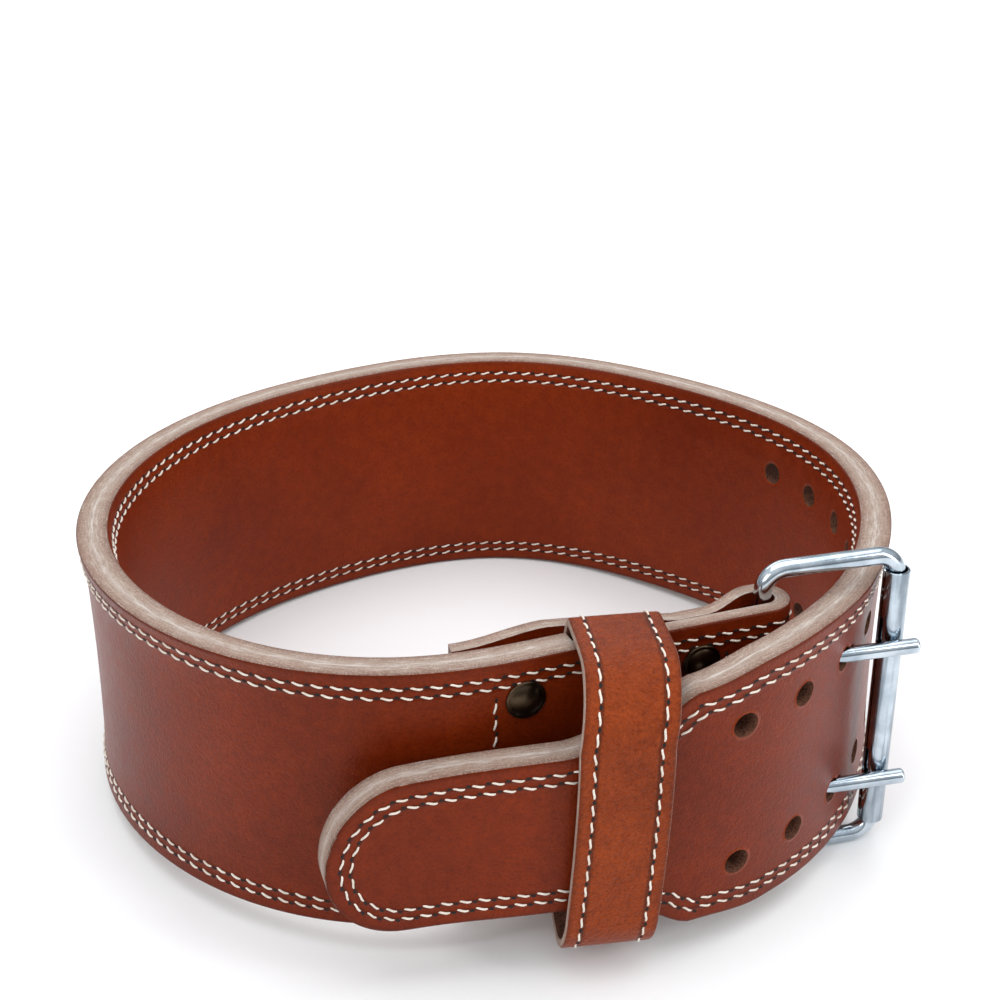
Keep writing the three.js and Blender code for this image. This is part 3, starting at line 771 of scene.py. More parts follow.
def make_piece(
    name: str, bm: bmesh.types.BMesh, materials: list, slot: str, nodes: tuple = (), sharp: float = 38
) -> bpy.types.Object:
    """Turns mesh data, already in the row frame, into a piece that rides on the belt.

    Args:
        name: the piece's name.
        bm: its mesh data, which is freed.
        materials: its materials in order.
        slot: not used.
        nodes: the model's nodes that it stands for.
        sharp: angle in degrees beyond which an edge stays sharp.

    Returns:
        The object.
    """
    mesh = bpy.data.meshes.new(name)
    bmesh.ops.recalc_face_normals(bm, faces=bm.faces)
    bm.to_mesh(mesh)
    bm.free()
    for material in materials:
        mesh.materials.append(material)
    mesh.shade_smooth()
    mesh.set_sharp_from_angle(angle=math.radians(sharp))
    piece = bpy.data.objects.new(name, mesh)
    bpy.context.scene.collection.objects.link(piece)
    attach(piece, "root")
    if nodes:
        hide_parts(*nodes)
    return piece


def flat_grid(columns: np.ndarray, rows: np.ndarray) -> bmesh.types.BMesh:
    """Sheet of quads on given columns and rows.

    Args:
        columns: places along X.
        rows: places along Y.

    Returns:
        New mesh data.
    """
    bm = bmesh.new()
    bmesh.ops.create_grid(bm, x_segments=len(columns) - 1, y_segments=len(rows) - 1, size=0.5)
    points = coordinates(bm)
    column = np.rint((points[:, 0] + 0.5) * (len(columns) - 1)).astype(int)
    row = np.rint((points[:, 1] + 0.5) * (len(rows) - 1)).astype(int)
    place_vertices(bm, np.column_stack([columns[column], rows[row], np.zeros(len(points))]))
    return bm


def thicken(bm: bmesh.types.BMesh) -> np.ndarray:
    """Doubles a sheet into a closed body of no thickness.

    Args:
        bm: the sheet.

    Returns:
        For each vertex, whether it belongs to the new side.
    """
    made = bmesh.ops.extrude_face_region(bm, geom=bm.faces[:])
    new = {item for item in made["geom"] if isinstance(item, bmesh.types.BMVert)}
    return np.array([vertex in new for vertex in bm.verts])


def rounding(distance: np.ndarray, radius: float) -> np.ndarray:
    """How far a rounded edge drops at a distance from the edge."""
    inside = np.clip(radius - distance, 0, radius)
    return radius - np.sqrt(radius**2 - inside**2 * 0.96)


def edge_steps(total: float, middle: float) -> np.ndarray:
    """Places from 0 to a total, fine at both ends and even between."""
    fine = np.array([0, 0.2, 0.5, 0.95, 1.6, 2.6, 4.0])
    count = max(2, int(round((total - 8) / middle)))
    return np.concatenate([fine[:-1], np.linspace(4.0, total - 4.0, count + 1), total - fine[:-1][::-1]])


def tube_cutter(first: tuple, last: tuple, radius: float) -> bmesh.types.BMesh:
    """Round cutter from a point above the leather to one below it, sheared, not turned."""
    bm = bmesh.new()
    bmesh.ops.create_cone(bm, cap_ends=True, segments=32, radius1=radius, radius2=radius, depth=1)
    points = coordinates(bm)
    share = points[:, 2:3] + 0.5
    base = np.array(first) + share * (np.array(last) - np.array(first))
    points = np.column_stack([points[:, :2], np.zeros(len(points))]) + base
    place_vertices(bm, points)
    return bm


def join(parts: list) -> bmesh.types.BMesh:
    """One mesh of several, which are freed."""
    whole = bmesh.new()
    for part in parts:
        mesh = bpy.data.meshes.new("part")
        part.to_mesh(mesh)
        part.free()
        whole.from_mesh(mesh)
        bpy.data.meshes.remove(mesh)
    return whole


def cut(body: bmesh.types.BMesh, cutters: bmesh.types.BMesh) -> bmesh.types.BMesh:
    """Body without what the cutters take away. Both are freed.

    Args:
        body: the closed body.
        cutters: closed cutters.

    Returns:
        New mesh data.
    """
    objects = []
    for bm in (body, cutters):
        bmesh.ops.recalc_face_normals(bm, faces=bm.faces)
        mesh = bpy.data.meshes.new("cut")
        bm.to_mesh(mesh)
        bm.free()
        objects.append(bpy.data.objects.new("cut", mesh))
        bpy.context.scene.collection.objects.link(objects[-1])
    tool = objects[0].modifiers.new("cut", "BOOLEAN")
    tool.operation = "DIFFERENCE"
    tool.solver = "EXACT"
    tool.object = objects[1]
    graph = bpy.context.evaluated_depsgraph_get()
    made = bpy.data.meshes.new_from_object(objects[0].evaluated_get(graph))
    result = bmesh.new()
    result.from_mesh(made)
    for piece in objects:
        mesh = piece.data
        bpy.data.objects.remove(piece)
        bpy.data.meshes.remove(mesh)
    bpy.data.meshes.remove(made)
    return result


@dataclass
class Buckle:
    """Frame, roller and two prongs, all placed from the bar that the leather folds round."""

    finishes: Finishes | None = None
    wire: float = 6.4
    frame_width: float = 50.0
    frame_room: float = 17.0
    frame_corner: float = 8.0
    lift: float = 1.5
    roller_outside: float = 9.4
    roller_wall: float = 0.8
    roller_reach: float = 2.0
    roller_clearance: float = 3.4
    prong: float = 5.6
    prong_sag: float = 1.0
    prong_eye_wall: float = 3.0
    prong_overhang: float = 7.5
    turn_limits: tuple[float, float] = (-35.0, 40.0)

    @property
    def frame_height(self) -> float:
        """Height of the frame between the middles of its wires."""
        return STRAP_WIDTH + self.frame_room

    @property
    def roller_length(self) -> float:
        """Length of the roller, which reaches a little past the starts of the corners."""
        return self.frame_height - 2 * self.frame_corner + 2 * self.roller_reach

    @cached_property
    def turn(self) -> float:
        """Angle of the frame at which the roller just clears the strap.

        Returns:
            The angle in radians.
        """
        along = np.arange(0.7 * WRAP_LENGTH, 0.96 * WRAP_LENGTH, 1.0)
        faces = WRAP.point(along, np.zeros(len(along)))
        outward = WRAP.directions(along)[1]
        low, high = (math.radians(limit) for limit in self.turn_limits)
        for _ in range(30):
            middle = (low + high) / 2
            reach = self.frame_width * np.array([math.cos(middle), math.sin(middle)])
            roller = np.array(WRAP.fold_centre) + reach
            away = roller - faces
            nearest = int(np.argmin((away**2).sum(axis=1)))
            distance = np.linalg.norm(away[nearest]) * np.sign(away[nearest] @ outward[nearest])
            if distance > self.roller_outside / 2 + self.roller_clearance:
                low = middle
            else:
                high = middle
        return (low + high) / 2

    @property
    def height(self) -> float:
        """Height of the frame's middle."""
        return STRAP_WIDTH / 2 + self.lift

    @property
    def prong_heights(self) -> tuple[float, float]:
        """Heights of the two prongs."""
        middle = STRAP_WIDTH / 2 - self.prong_sag
        return middle + HOLE_ROW_SPACING / 2, middle - HOLE_ROW_SPACING / 2

    @cached_property
    def prong_line(self) -> tuple[Vector, Vector, float]:
        """Line of a prong in the buckle's plan.

        Returns:
            Its start, its direction and its length.
        """
        at_bar = self.wire / 2 + GAP + self.prong / 2
        at_roller = self.roller_outside / 2 + GAP + self.prong / 2
        rise = math.asin((at_roller - at_bar) / self.frame_width)
        direction = Vector((math.cos(rise), -math.sin(rise)))
        start = Vector((-math.sin(rise), -math.cos(rise))) * at_bar
        return start, direction, self.frame_width * math.cos(rise) + self.prong_overhang

    def place(self, points: np.ndarray) -> np.ndarray:
        """Places the buckle.

        Args:
            points: the buckle's own coordinates, X from bar to roller and Z up.

        Returns:
            Points in the row frame.
        """
        c, s = math.cos(self.turn), math.sin(self.turn)
        plan = points[:, :2] @ np.array([[c, s], [-s, c]]) + np.array(WRAP.fold_centre)
        return to_row(np.column_stack([plan, points[:, 2] + self.height]))

    def crossing(self, depth: float) -> float:
        """Finds where a prong goes through the strap.

        Args:
            depth: depth below the strap's outer face.

        Returns:
            The place along the strap.
        """
        start, direction, _ = self.prong_line
        turn = Matrix.Rotation(self.turn, 2)
        origin = turn @ start + WRAP.fold_centre
        heading = turn @ direction
        along = np.arange(0.8 * WRAP_LENGTH, WRAP_LENGTH, 0.25)
        away = WRAP.point(along, np.full(len(along), depth)) - np.array(origin)
        side = away[:, 0] * heading.y - away[:, 1] * heading.x
        return float(along[np.flatnonzero(np.diff(np.sign(side)))[0]])

    def build(self) -> None:
        """Makes the frame, the roller and the prongs."""
        self.build_frame()
        self.build_roller()
        for name, height in zip(("prong_upper", "prong_lower"), self.prong_heights):
            self.build_prong(name, height - self.height)

    def build_frame(self) -> None:
        """Round wire bent to a rectangle with tight corners."""
        half, corner = self.frame_height / 2, self.frame_corner
        near, far, straight = corner, self.frame_width - corner, half - corner
        path, normal = [], []
        centres = ((far, straight, 0), (near, straight, 1), (near, -straight, 2), (far, -straight, 3))
        for x, z, quarter in centres:
            for angle in np.pi / 2 * (quarter + np.linspace(0, 1, 15)):
                path.append((x + corner * math.cos(angle), z + corner * math.sin(angle)))
                normal.append((math.cos(angle), math.sin(angle)))
        path.append(path[0])
        normal.append(normal[0])
        path, normal = np.array(path), np.array(normal)
        angles = np.linspace(0, 2 * np.pi, 33)
        bm = flat_grid(np.arange(len(path), dtype=float), angles)
        points = coordinates(bm)
        index = np.rint(points[:, 0]).astype(int)
        out = normal[index] * np.cos(points[:, 1])[:, None] * self.wire / 2
        placed = path[index] + out
        side = np.sin(points[:, 1]) * self.wire / 2
        place_vertices(bm, self.place(np.column_stack([placed[:, 0], side, placed[:, 1]])))
        bmesh.ops.remove_doubles(bm, verts=bm.verts, dist=1e-6)
        make_piece("frame_wire", bm, [self.finishes.nickel], "nickel", ("buckle_frame",))

    def build_roller(self) -> None:
        """Tube rolled from sheet, with a seam and a relief beside each prong."""
        seam = math.radians(205) - self.turn
        arc = np.linspace(seam + 0.05, seam + 2 * np.pi - 0.05, 49)
        bm = flat_grid(arc, edge_steps(self.roller_length, 12.0) - self.roller_length / 2)
        inner = thicken(bm)
        points = coordinates(bm)
        inside, outside = self.roller_outside / 2 - self.roller_wall, self.roller_outside / 2
        ends = rounding(self.roller_length / 2 - np.abs(points[:, 1]), 0.35)
        radius = np.where(inner, inside, outside - ends)
        sheet = np.column_stack(
            [self.frame_width + radius * np.cos(points[:, 0]), radius * np.sin(points[:, 0]), points[:, 1]]
        )
        place_vertices(bm, sheet)
        reliefs = []
        for height in self.prong_heights:
            relief = bmesh.new()
            bmesh.ops.create_cube(relief, size=1)
            bmesh.ops.scale(relief, verts=relief.verts, vec=(6, 4.4, 10.5))
            rim = [edge for edge in relief.edges if abs(edge.verts[0].co.x - edge.verts[1].co.x) > 1]
            bmesh.ops.bevel(
                relief, geom=rim, offset=1.6, segments=5, affect="EDGES", profile=0.5, material=-1
            )
            bmesh.ops.translate(relief, verts=relief.verts, vec=(self.roller_outside / 2, 0, 0))
            turn = Matrix.Rotation(seam, 3, "Z")
            bmesh.ops.rotate(relief, verts=relief.verts, cent=(0, 0, 0), matrix=turn)
            shift = (self.frame_width, 0, height - self.height + 4)
            bmesh.ops.translate(relief, verts=relief.verts, vec=shift)
            reliefs.append(relief)
        bm = cut(bm, join(reliefs))
        place_vertices(bm, self.place(coordinates(bm)))
        make_piece("roller_tube", bm, [self.finishes.tube], "nickel", ("buckle_roller",))

    def build_prong(self, name: str, height: float) -> None:
        """Round prong: an eye round the bar and a blunt shank over the roller.

        Args:
            name: the model's node.
            height: height of the prong above the frame's middle.
        """
        radius, bevel = self.prong / 2, 1.3
        start, direction, length = self.prong_line
        profile = [(0, 0.4), (radius, 0.4), (radius, length - bevel)]
        for angle in np.linspace(0.2, 1.35, 5):
            side, end = bevel * (1 - math.cos(angle)), bevel * (1 - math.sin(angle))
            profile.append((radius - side, length - end))
        profile.append((0, length))
        shank = turned(profile, 32)
        points = coordinates(shank)
        across = Vector((-direction.y, direction.x))
        plan = np.array(start) + np.outer(points[:, 2], direction) + np.outer(points[:, 0], across)
        place_vertices(shank, np.column_stack([plan, points[:, 1]]))
        inside = self.wire / 2 + 0.15
        outside = self.wire / 2 + GAP + self.prong_eye_wall
        half, soft = self.prong / 2, 0.9
        below = [(inside, 0.4 - half), (inside + 0.4, -half), (outside - soft, -half), (outside, soft - half)]
        ring_profile = below + [(radius, -height) for radius, height in reversed(below)]
        eye = turned(ring_profile + ring_profile[:1], 40)
        bm = join([shank, eye])
        points = coordinates(bm)
        points[:, 2] += height
        place_vertices(bm, self.place(points))
        make_piece(f"{name}_bar", bm, [self.finishes.nickel], "nickel", (name,))


def turned(profile: list, steps: int) -> bmesh.types.BMesh:
    """Body turned about Z.

    Args:
        profile: pairs of radius and height.
        steps: facets round the axis.

    Returns:
        New mesh data.
    """
    bm = bmesh.new()
    line = [bm.verts.new((radius, 0, height)) for radius, height in profile]
    edges = [bm.edges.new(pair) for pair in zip(line, line[1:])]
    bmesh.ops.spin(
        bm, geom=line + edges, cent=(0, 0, 0), axis=(0, 0, 1), angle=2 * math.pi, steps=steps, use_merge=True
    )
    bmesh.ops.remove_doubles(bm, verts=bm.verts, dist=1e-4)
    return bm


@dataclass
class Leather:
    """One layer of the strap, laid out flat, punched and bent."""

    name: str
    node: str
    slot: str
    start: float
    depths: tuple[float, float]
    grain_first: bool
    materials: list
    buckle: Buckle
    slot_length: float = 23.0
    slot_play: float = 1.2
    way_room: float = 0.55
    soft_rim: float = 11.0

    def columns(self) -> np.ndarray:
        """Chooses the cross lines of the flat leather.

        Returns:
            Their places, fine at the start, in the fold and at the tip.
        """
        fine = self.start + np.array([0, 0.2, 0.5, 0.95, 1.6, 2.6, 4.0])
        radius = TONGUE_WIDTH / 2
        ends = [fine[:-1]]
        if self.start < 0:
            ends.append(np.arange(self.start + 4, -FOLD_LENGTH - 8, 3.0))
            ends.append(np.linspace(-FOLD_LENGTH - 8, 8, 36))
            ends.append(np.arange(11, WRAP_LENGTH - radius, 3.0))
        else:
            ends.append(np.arange(self.start + 4, WRAP_LENGTH - radius, 3.0))
        tip = WRAP_LENGTH - radius + radius * np.sin(np.linspace(0, np.pi / 2, 20))
        return np.concatenate([*ends, tip])

    def cutters(self) -> tuple[bmesh.types.BMesh, bmesh.types.BMesh]:
        """Punches for the leather.

        Returns:
            Those for the holes and the slots of the fold, and those for the prongs' ways.
        """
        above, below = -3.0, STRAP_THICKNESS + 3.0
        punches, ways = [], []
        crossing = self.buckle.crossing(STRAP_THICKNESS / 2)
        for column in range(-HOLES_TO_BACK, HOLES_TO_TIP + 1):
            place = crossing + column * HOLE_PITCH
            middle = float(middle_height(np.array([place]))[0])
            for side in (1, -1):
                height = middle + side * HOLE_ROW_SPACING / 2
                punches.append(tube_cutter((place, height, above), (place, height, below), HOLE / 2))
        entry = self.buckle.crossing(0.0)
        slope = (self.buckle.crossing(STRAP_THICKNESS) - entry) / STRAP_THICKNESS
        for height in self.buckle.prong_heights:
            top, bottom = ((entry + slope * depth, height, depth) for depth in (above, below))
            ways.append(tube_cutter(top, bottom, self.buckle.prong / 2 + self.way_room))
            if self.start < 0:
                punches.append(self.slot_cutter(height))
        return join(punches), join(ways)

    def slot_cutter(self, height: float) -> bmesh.types.BMesh:
        """Punch for a prong's slot in the fold.

        Args:
            height: height of the slot's middle.

        Returns:
            The cutter.
        """
        slot = bmesh.new()
        bmesh.ops.create_cube(slot, size=1)
        width = self.buckle.prong + 2 * self.slot_play
        bmesh.ops.scale(slot, verts=slot.verts, vec=(self.slot_length + FOLD_LENGTH, width, 20))
        upright = [edge for edge in slot.edges if abs(edge.verts[0].co.z - edge.verts[1].co.z) > 1]
        round_off = width / 2 * 0.98
        bmesh.ops.bevel(
            slot, geom=upright, offset=round_off, segments=8, affect="EDGES", profile=0.5, material=-1
        )
        bmesh.ops.translate(slot, verts=slot.verts, vec=(-FOLD_LENGTH / 2, height, 0))
        return slot

    def build(self) -> bpy.types.Object:
        """Makes the layer.

        Returns:
            The piece.
        """
        columns = self.columns()
        steps = edge_steps(STRAP_WIDTH, 4.0) / STRAP_WIDTH * 2 - 1
        bm = flat_grid(columns, steps)
        far = thicken(bm)
        points = coordinates(bm)
        half = half_width(points[:, 0])
        edge = (1 - np.abs(points[:, 1])) * STRAP_WIDTH / 2
        shrink = np.minimum(half / (TONGUE_WIDTH / 2), 1)
        soft = self.soft_rim
        fixed = np.minimum(edge, soft) * shrink
        inner = np.clip((edge - soft) / (STRAP_WIDTH / 2 - soft), 0, 1) * (half - soft * shrink)
        height = middle_height(points[:, 0]) + np.sign(points[:, 1]) * (half - fixed - inner)
        flat = np.column_stack([points[:, 0], height, np.zeros(len(points))])
        rim = rim_distance(flat, self.start)
        grain = ~far if self.grain_first else far
        drop = np.where(grain, rounding(rim, 1.0), np.where(points[:, 0] < 60, rounding(rim, 0.5), 0.0))
        flat[:, 2] = np.where(far, self.depths[1] - drop, self.depths[0] + drop)
        place_vertices(bm, flat)
        self.crown(bm, far)
        for cutters in self.cutters():
            bm = cut(bm, cutters)
        return self.bend(bm)

    @staticmethod
    def crown(bm: bmesh.types.BMesh, far: np.ndarray) -> None:
        """Adds lines along the cut sides, close to both faces.

        Args:
            bm: the flat leather.
            far: for each vertex, whether it lies on the far face.
        """
        bm.verts.index_update()
        uprights = [edge for edge in bm.edges if far[edge.verts[0].index] != far[edge.verts[1].index]]
        made = bmesh.ops.subdivide_edges(bm, edges=uprights, cuts=3)
        new = {item for item in made["geom_inner"] if isinstance(item, bmesh.types.BMVert)}
        for edge in [edge for edge in bm.edges if (edge.verts[0] in new) != (edge.verts[1] in new)]:
            moved, kept = edge.verts if edge.verts[0] in new else reversed(edge.verts)
            way = moved.co - kept.co
            if abs(way.z) > 0.6:
                moved.co = kept.co + way * (0.35 / abs(way.z))

    def bend(self, bm: bmesh.types.BMesh) -> bpy.types.Object:
        """Sorts the surfaces of the flat leather and bends it.

        Args:
            bm: the punched flat leather.

        Returns:
            The piece.
        """
        flat = coordinates(bm)
        rim = rim_distance(flat, self.start)
        layer = bm.verts.layers.float.new("rim")
        for vertex, distance in zip(bm.verts, rim):
            vertex[layer] = distance
        uv = bm.loops.layers.uv.new("flat")
        bm.normal_update()
        bm.verts.index_update()
        for face in bm.faces:
            nearest = min(vertex[layer] for vertex in face.verts)
            if abs(face.normal.z) > 0.62:
                kind = Surface.GRAIN
            elif nearest < 1.2:
                kind = Surface.EDGE
            else:
                kind = Surface.BORE
            face.material_index = kind.value
            for loop in face.loops:
                x, y, z = loop.vert.co
                across = z if kind is Surface.EDGE else y - float(middle_height(x))
                along = x if abs(face.normal.x) < 0.8 else y
                loop[uv].uv = (along * MM, across * MM)
        place_vertices(bm, to_row(WRAP.lay(flat)))
        return make_piece(self.name, bm, self.materials, self.slot, (self.node,))


@dataclass
class Stitching:
    """Lock stitches: short slanted threads between needle holes, sewn in rows."""

    finishes: Finishes
    slant: float = 8.0
    pitch: float = 6.4
    length: float = 4.8
    thread: float = 0.78
    mouth: float = 0.58
    mouth_depth: float = 0.3
    mouth_lift: float = 0.045

    def template(self) -> bmesh.types.BMesh:
        """One stitch along X, its ends dipping into the leather.

        Returns:
            New mesh data.
        """
        bm = bmesh.new()
        bmesh.ops.create_uvsphere(bm, u_segments=8, v_segments=9, radius=1)
        points = coordinates(bm)
        x = points[:, 2]
        ring = np.sqrt(np.maximum(1 - x**2, 1e-9))
        fat = self.thread / 2 * np.maximum(1 - np.abs(x) ** 5, 0) ** 0.5 / np.maximum(ring, 1e-4)
        across = points[:, 0] * fat + 0.16 * np.sin(np.pi * x)
        lift = points[:, 1] * fat + 0.3 - 0.75 * x**2
        place_vertices(bm, np.column_stack([x * self.length / 2, across, lift]))
        return bm

    def hole(self) -> bmesh.types.BMesh:
        """Mouth of a needle hole: a dark plug, nearly flush with the leather, that paints the shadow in the
        hole.

        Returns:
            New mesh data.
        """
        bm = bmesh.new()
        deep = self.mouth_depth
        bmesh.ops.create_cone(bm, cap_ends=True, segments=10, radius1=0.4, radius2=self.mouth, depth=deep)
        bmesh.ops.translate(bm, verts=bm.verts, vec=(0, 0, self.mouth_lift - deep / 2))
        return bm

    def sew(self, name: str, slot: str, rows: list) -> None:
        """Sews rows of stitches.

        Args:
            name: the pieces' name.
            slot: material slot of the leather.
            rows: for each row its points, what lays them, and the shift of its first stitch.
        """
        dice = random.Random(11)
        threads, holes = [], []
        stitch, mouth = self.template(), self.hole()
        stitch_points, mouth_points = coordinates(stitch), coordinates(mouth)
        for line, lay, shift in rows:
            lengths = np.concatenate([[0], np.cumsum(np.linalg.norm(np.diff(line, axis=0), axis=1))])
            spots = np.arange(self.pitch * (0.5 + shift), lengths[-1] - 2, self.pitch)
            for spot in spots:
                here = np.array([np.interp(spot, lengths, line[:, k]) for k in (0, 1)])
                ahead = np.array([np.interp(spot + 1, lengths, line[:, k]) for k in (0, 1)]) - here
                slant = math.radians(self.slant + dice.uniform(-2.0, 2.0))
                heading = math.atan2(ahead[1], ahead[0]) + slant
                c, s = math.cos(heading), math.sin(heading)
                turn = np.array([[c, s], [-s, c]])
                flat = stitch_points[:, :2] @ turn + here
                threads.append(lay(np.column_stack([flat, stitch_points[:, 2]])))
                gap = np.array([self.pitch / 2, 0.0]) @ turn
                flat = mouth_points[:, :2] * (1.5, 0.95) @ turn + here + gap
                holes.append(lay(np.column_stack([flat, mouth_points[:, 2]])))
        self.join_copies(f"{name}_thread", stitch, threads, self.finishes.thread, slot)
        self.join_copies(f"{name}_needle_hole_shadows", mouth, holes, self.finishes.needle, slot)

    @staticmethod
    def join_copies(
        name: str, template: bmesh.types.BMesh, places: list, material: bpy.types.Material, slot: str
    ) -> None:
        """Joins copies of a template into one piece.

        Args:
            name: the piece's name.
            template: mesh data of one copy, which is freed.
            places: points of each copy's vertices.
            material: the piece's material.
            slot: material slot.
        """
        mesh = bpy.data.meshes.new("copy")
        template.to_mesh(mesh)
        template.free()
        whole = bmesh.new()
        for _ in places:
            whole.from_mesh(mesh)
        bpy.data.meshes.remove(mesh)
        place_vertices(whole, np.concatenate(places))
        make_piece(name, whole, [material], slot, sharp=80)


def on_depth(depth: float, inward: float) -> Callable[[np.ndarray], np.ndarray]:
    """Chooses a face of the strap to sew on.

    Args:
        depth: depth of the face below the strap's outer one.
        inward: -1 where height is outward, else 1.

    Returns:
        What lays points of that face in the row frame.
    """

    def lay(points: np.ndarray) -> np.ndarray:
        """Lays points on the face."""
        return to_row(WRAP.lay(np.column_stack([points[:, :2], depth + inward * points[:, 2]])))

    return lay


def strap_rows() -> tuple[list, list]:
    """Rows of stitches on the outside and on the inside of the strap.

    Returns:
        The rows outside and the rows inside.
    """
    outside, inside = [], []
    outer, inner = on_depth(0.0, -1), on_depth(STRAP_THICKNESS, 1)
    chape = on_depth(0.0, -1)
    for index, inset in enumerate(STITCH_ROWS):
        outside.append((outline(-FOLD_LENGTH / 2, inset), outer, index / 2))
        inside.append((outline(CHAPE_LENGTH + 3, inset), inner, index / 2))
        for height in (inset, STRAP_WIDTH - inset):
            places = -np.arange(FOLD_LENGTH / 2, FOLD_LENGTH + CHAPE_LENGTH - 3, 1.0)
            line = np.column_stack([places, np.full(len(places), height)])
            inside.append((line, chape, index / 2))
    for place in CROSS_ROWS:
        heights = np.arange(STITCH_ROWS[1] + 1, STRAP_WIDTH - STITCH_ROWS[1], 1.0)
        outside.append((np.column_stack([np.full(len(heights), place), heights]), outer, 0))
        back = np.full(len(heights), -FOLD_LENGTH - place)
        inside.append((np.column_stack([back, heights]), chape, 0))
    return outside, inside


@dataclass
class Keeper:
    """Stitched leather loop round the buckle end and the tongue."""

    finishes: Finishes
    play: float = 2.5
    room_above: float = 2.0
    room_below: float = 0.5
    rounds: tuple[float, float, float] = (1.5, 20.0, 14.0)
    foot_lean: float = 5.0
    top_lean: float = 3.4
    back_lean: float = 3.0
    belly: float = 0.9
    crest: float = 0.8
    stitch_rows: tuple[float, float] = (-10.8, 10.8)

    @cached_property
    def front(self) -> float:
        """Measures how far forward the inside of the front pass lies.

        Returns:
            Its distance from the back pass.
        """
        middle, across, forward = WRAP.keeper_axes
        along = np.arange(0.8 * WRAP_LENGTH, WRAP_LENGTH, 2.0)
        away = WRAP.point(along, np.zeros(len(along))) - np.array(middle)
        beside = np.abs(away @ np.array(across)) < KEEPER_WIDTH / 2 + 1
        return float((away @ np.array(forward))[beside].max()) + self.play

    @cached_property
    def loop(self) -> tuple[np.ndarray, np.ndarray, np.ndarray]:
        """Inside line of the loop from the middle of its back pass, upward.

        Returns:
            Points, outward normals and lengths along the middle of the leather.
        """
        low, high, front = -self.room_below, STRAP_WIDTH + self.room_above, self.front
        back, top, bottom = self.rounds
        arcs = (
            (back, high - back, back, math.pi, -1),
            (front - top, high - top, top, math.pi / 2, -1),
            (front - bottom, low + bottom, bottom, 0.0, -1),
            (back, low + back, back, -math.pi / 2, -1),
        )
        middle = (low + high) / 2
        points, normals = [(0.0, middle)], [(-1.0, 0.0)]
        for x, z, radius, begin, way in arcs:
            for angle in begin + way * np.linspace(0, math.pi / 2, 13):
                points.append((x + radius * math.cos(angle), z + radius * math.sin(angle)))
                normals.append((math.cos(angle), math.sin(angle)))
        points.append((0.0, middle))
        normals.append((-1.0, 0.0))
        points, normals = np.array(points), np.array(normals)
        path = points + normals * KEEPER_LEATHER / 2
        lengths = np.concatenate([[0], np.cumsum(np.linalg.norm(np.diff(path, axis=0), axis=1))])
        return points, normals, lengths

    def lay(self, flat: np.ndarray) -> np.ndarray:
        """Wraps the flat strip.

        Args:
            flat: rows of length round the loop, place across the width, and depth from the
                grain side.

        Returns:
            Points in the row frame.
        """
        points, normals, lengths = self.loop
        point = np.column_stack([np.interp(flat[:, 0], lengths, points[:, k]) for k in (0, 1)])
        normal = np.column_stack([np.interp(flat[:, 0], lengths, normals[:, k]) for k in (0, 1)])
        normal /= np.linalg.norm(normal, axis=1)[:, None]
        section = point + normal * (KEEPER_LEATHER - flat[:, 2])[:, None]
        share = np.clip(section[:, 0] / self.front, 0, 1)
        rise = np.clip((section[:, 1] + 2) / 104, 0, 1)
        section[:, 0] += share * self.belly * np.sin(np.pi * rise)
        height = section[:, 1] + self.crest * np.sin(np.pi * share) * np.clip((section[:, 1] - 95) / 8, 0, 1)
        section[:, 1] = height
        lean = -self.foot_lean * share * np.clip((78 - height) / 84, 0, 1.1) ** 1.6 - 0.6 * share
        lean += self.top_lean * np.clip((height - 82) / 22, 0, 1)
        lean -= self.back_lean * (1 - share) * np.clip((30 - height) / 34, 0, 1)
        middle, across, forward = WRAP.keeper_axes
        beside = (flat[:, 1] + lean)[:, None]
        plan = np.array(middle) + beside * np.array(across) + section[:, :1] * np.array(forward)
        return to_row(np.column_stack([plan, section[:, 1]]))

    def build(self) -> None:
        """Makes the loop of leather."""
        length = self.loop[2][-1]
        across = edge_steps(KEEPER_WIDTH, 3.5) - KEEPER_WIDTH / 2
        strip = flat_grid(np.linspace(0.1, length - 0.1, 190), across)
        inner = thicken(strip)
        flat = coordinates(strip)
        rim = KEEPER_WIDTH / 2 - np.abs(flat[:, 1])
        flat[:, 2] = np.where(inner, KEEPER_LEATHER - rounding(rim, 0.7), rounding(rim, 1.1))
        place_vertices(strip, flat)
        layer = strip.verts.layers.float.new("rim")
        uv = strip.loops.layers.uv.new("flat")
        for vertex, distance in zip(strip.verts, rim):
            vertex[layer] = distance
        bmesh.ops.recalc_face_normals(strip, faces=strip.faces)
        strip.normal_update()
        for face in strip.faces:
            side = abs(face.normal.z) < 0.62
            face.material_index = 1 if side else (2 if face.normal.z > 0 else 0)
            for loop in face.loops:
                across = loop.vert.co.z * OUTER_LAYER / KEEPER_LEATHER if side else loop.vert.co.y
                loop[uv].uv = (loop.vert.co.x * MM, across * MM)
        place_vertices(strip, self.lay(flat))
        materials = [self.finishes.keeper, self.finishes.single_edge, self.finishes.bore]
        make_piece("keeper_loop", strip, materials, "keeper_leather", ("keeper",))

    def rows(self) -> list:
        """Rows of stitches near both edges of the loop.

        Returns:
            For each row its points, what lays them, and the shift of its first stitch.
        """

        def lay(points: np.ndarray) -> np.ndarray:
            """Lays points on the grain side."""
            return self.lay(np.column_stack([points[:, :2], -points[:, 2]]))

        length = self.loop[2][-1]
        places = np.arange(4.0, length - 4, 1.0)
        return [(np.column_stack([places, np.full(len(places), y)]), lay, 0.25) for y in self.stitch_rows]


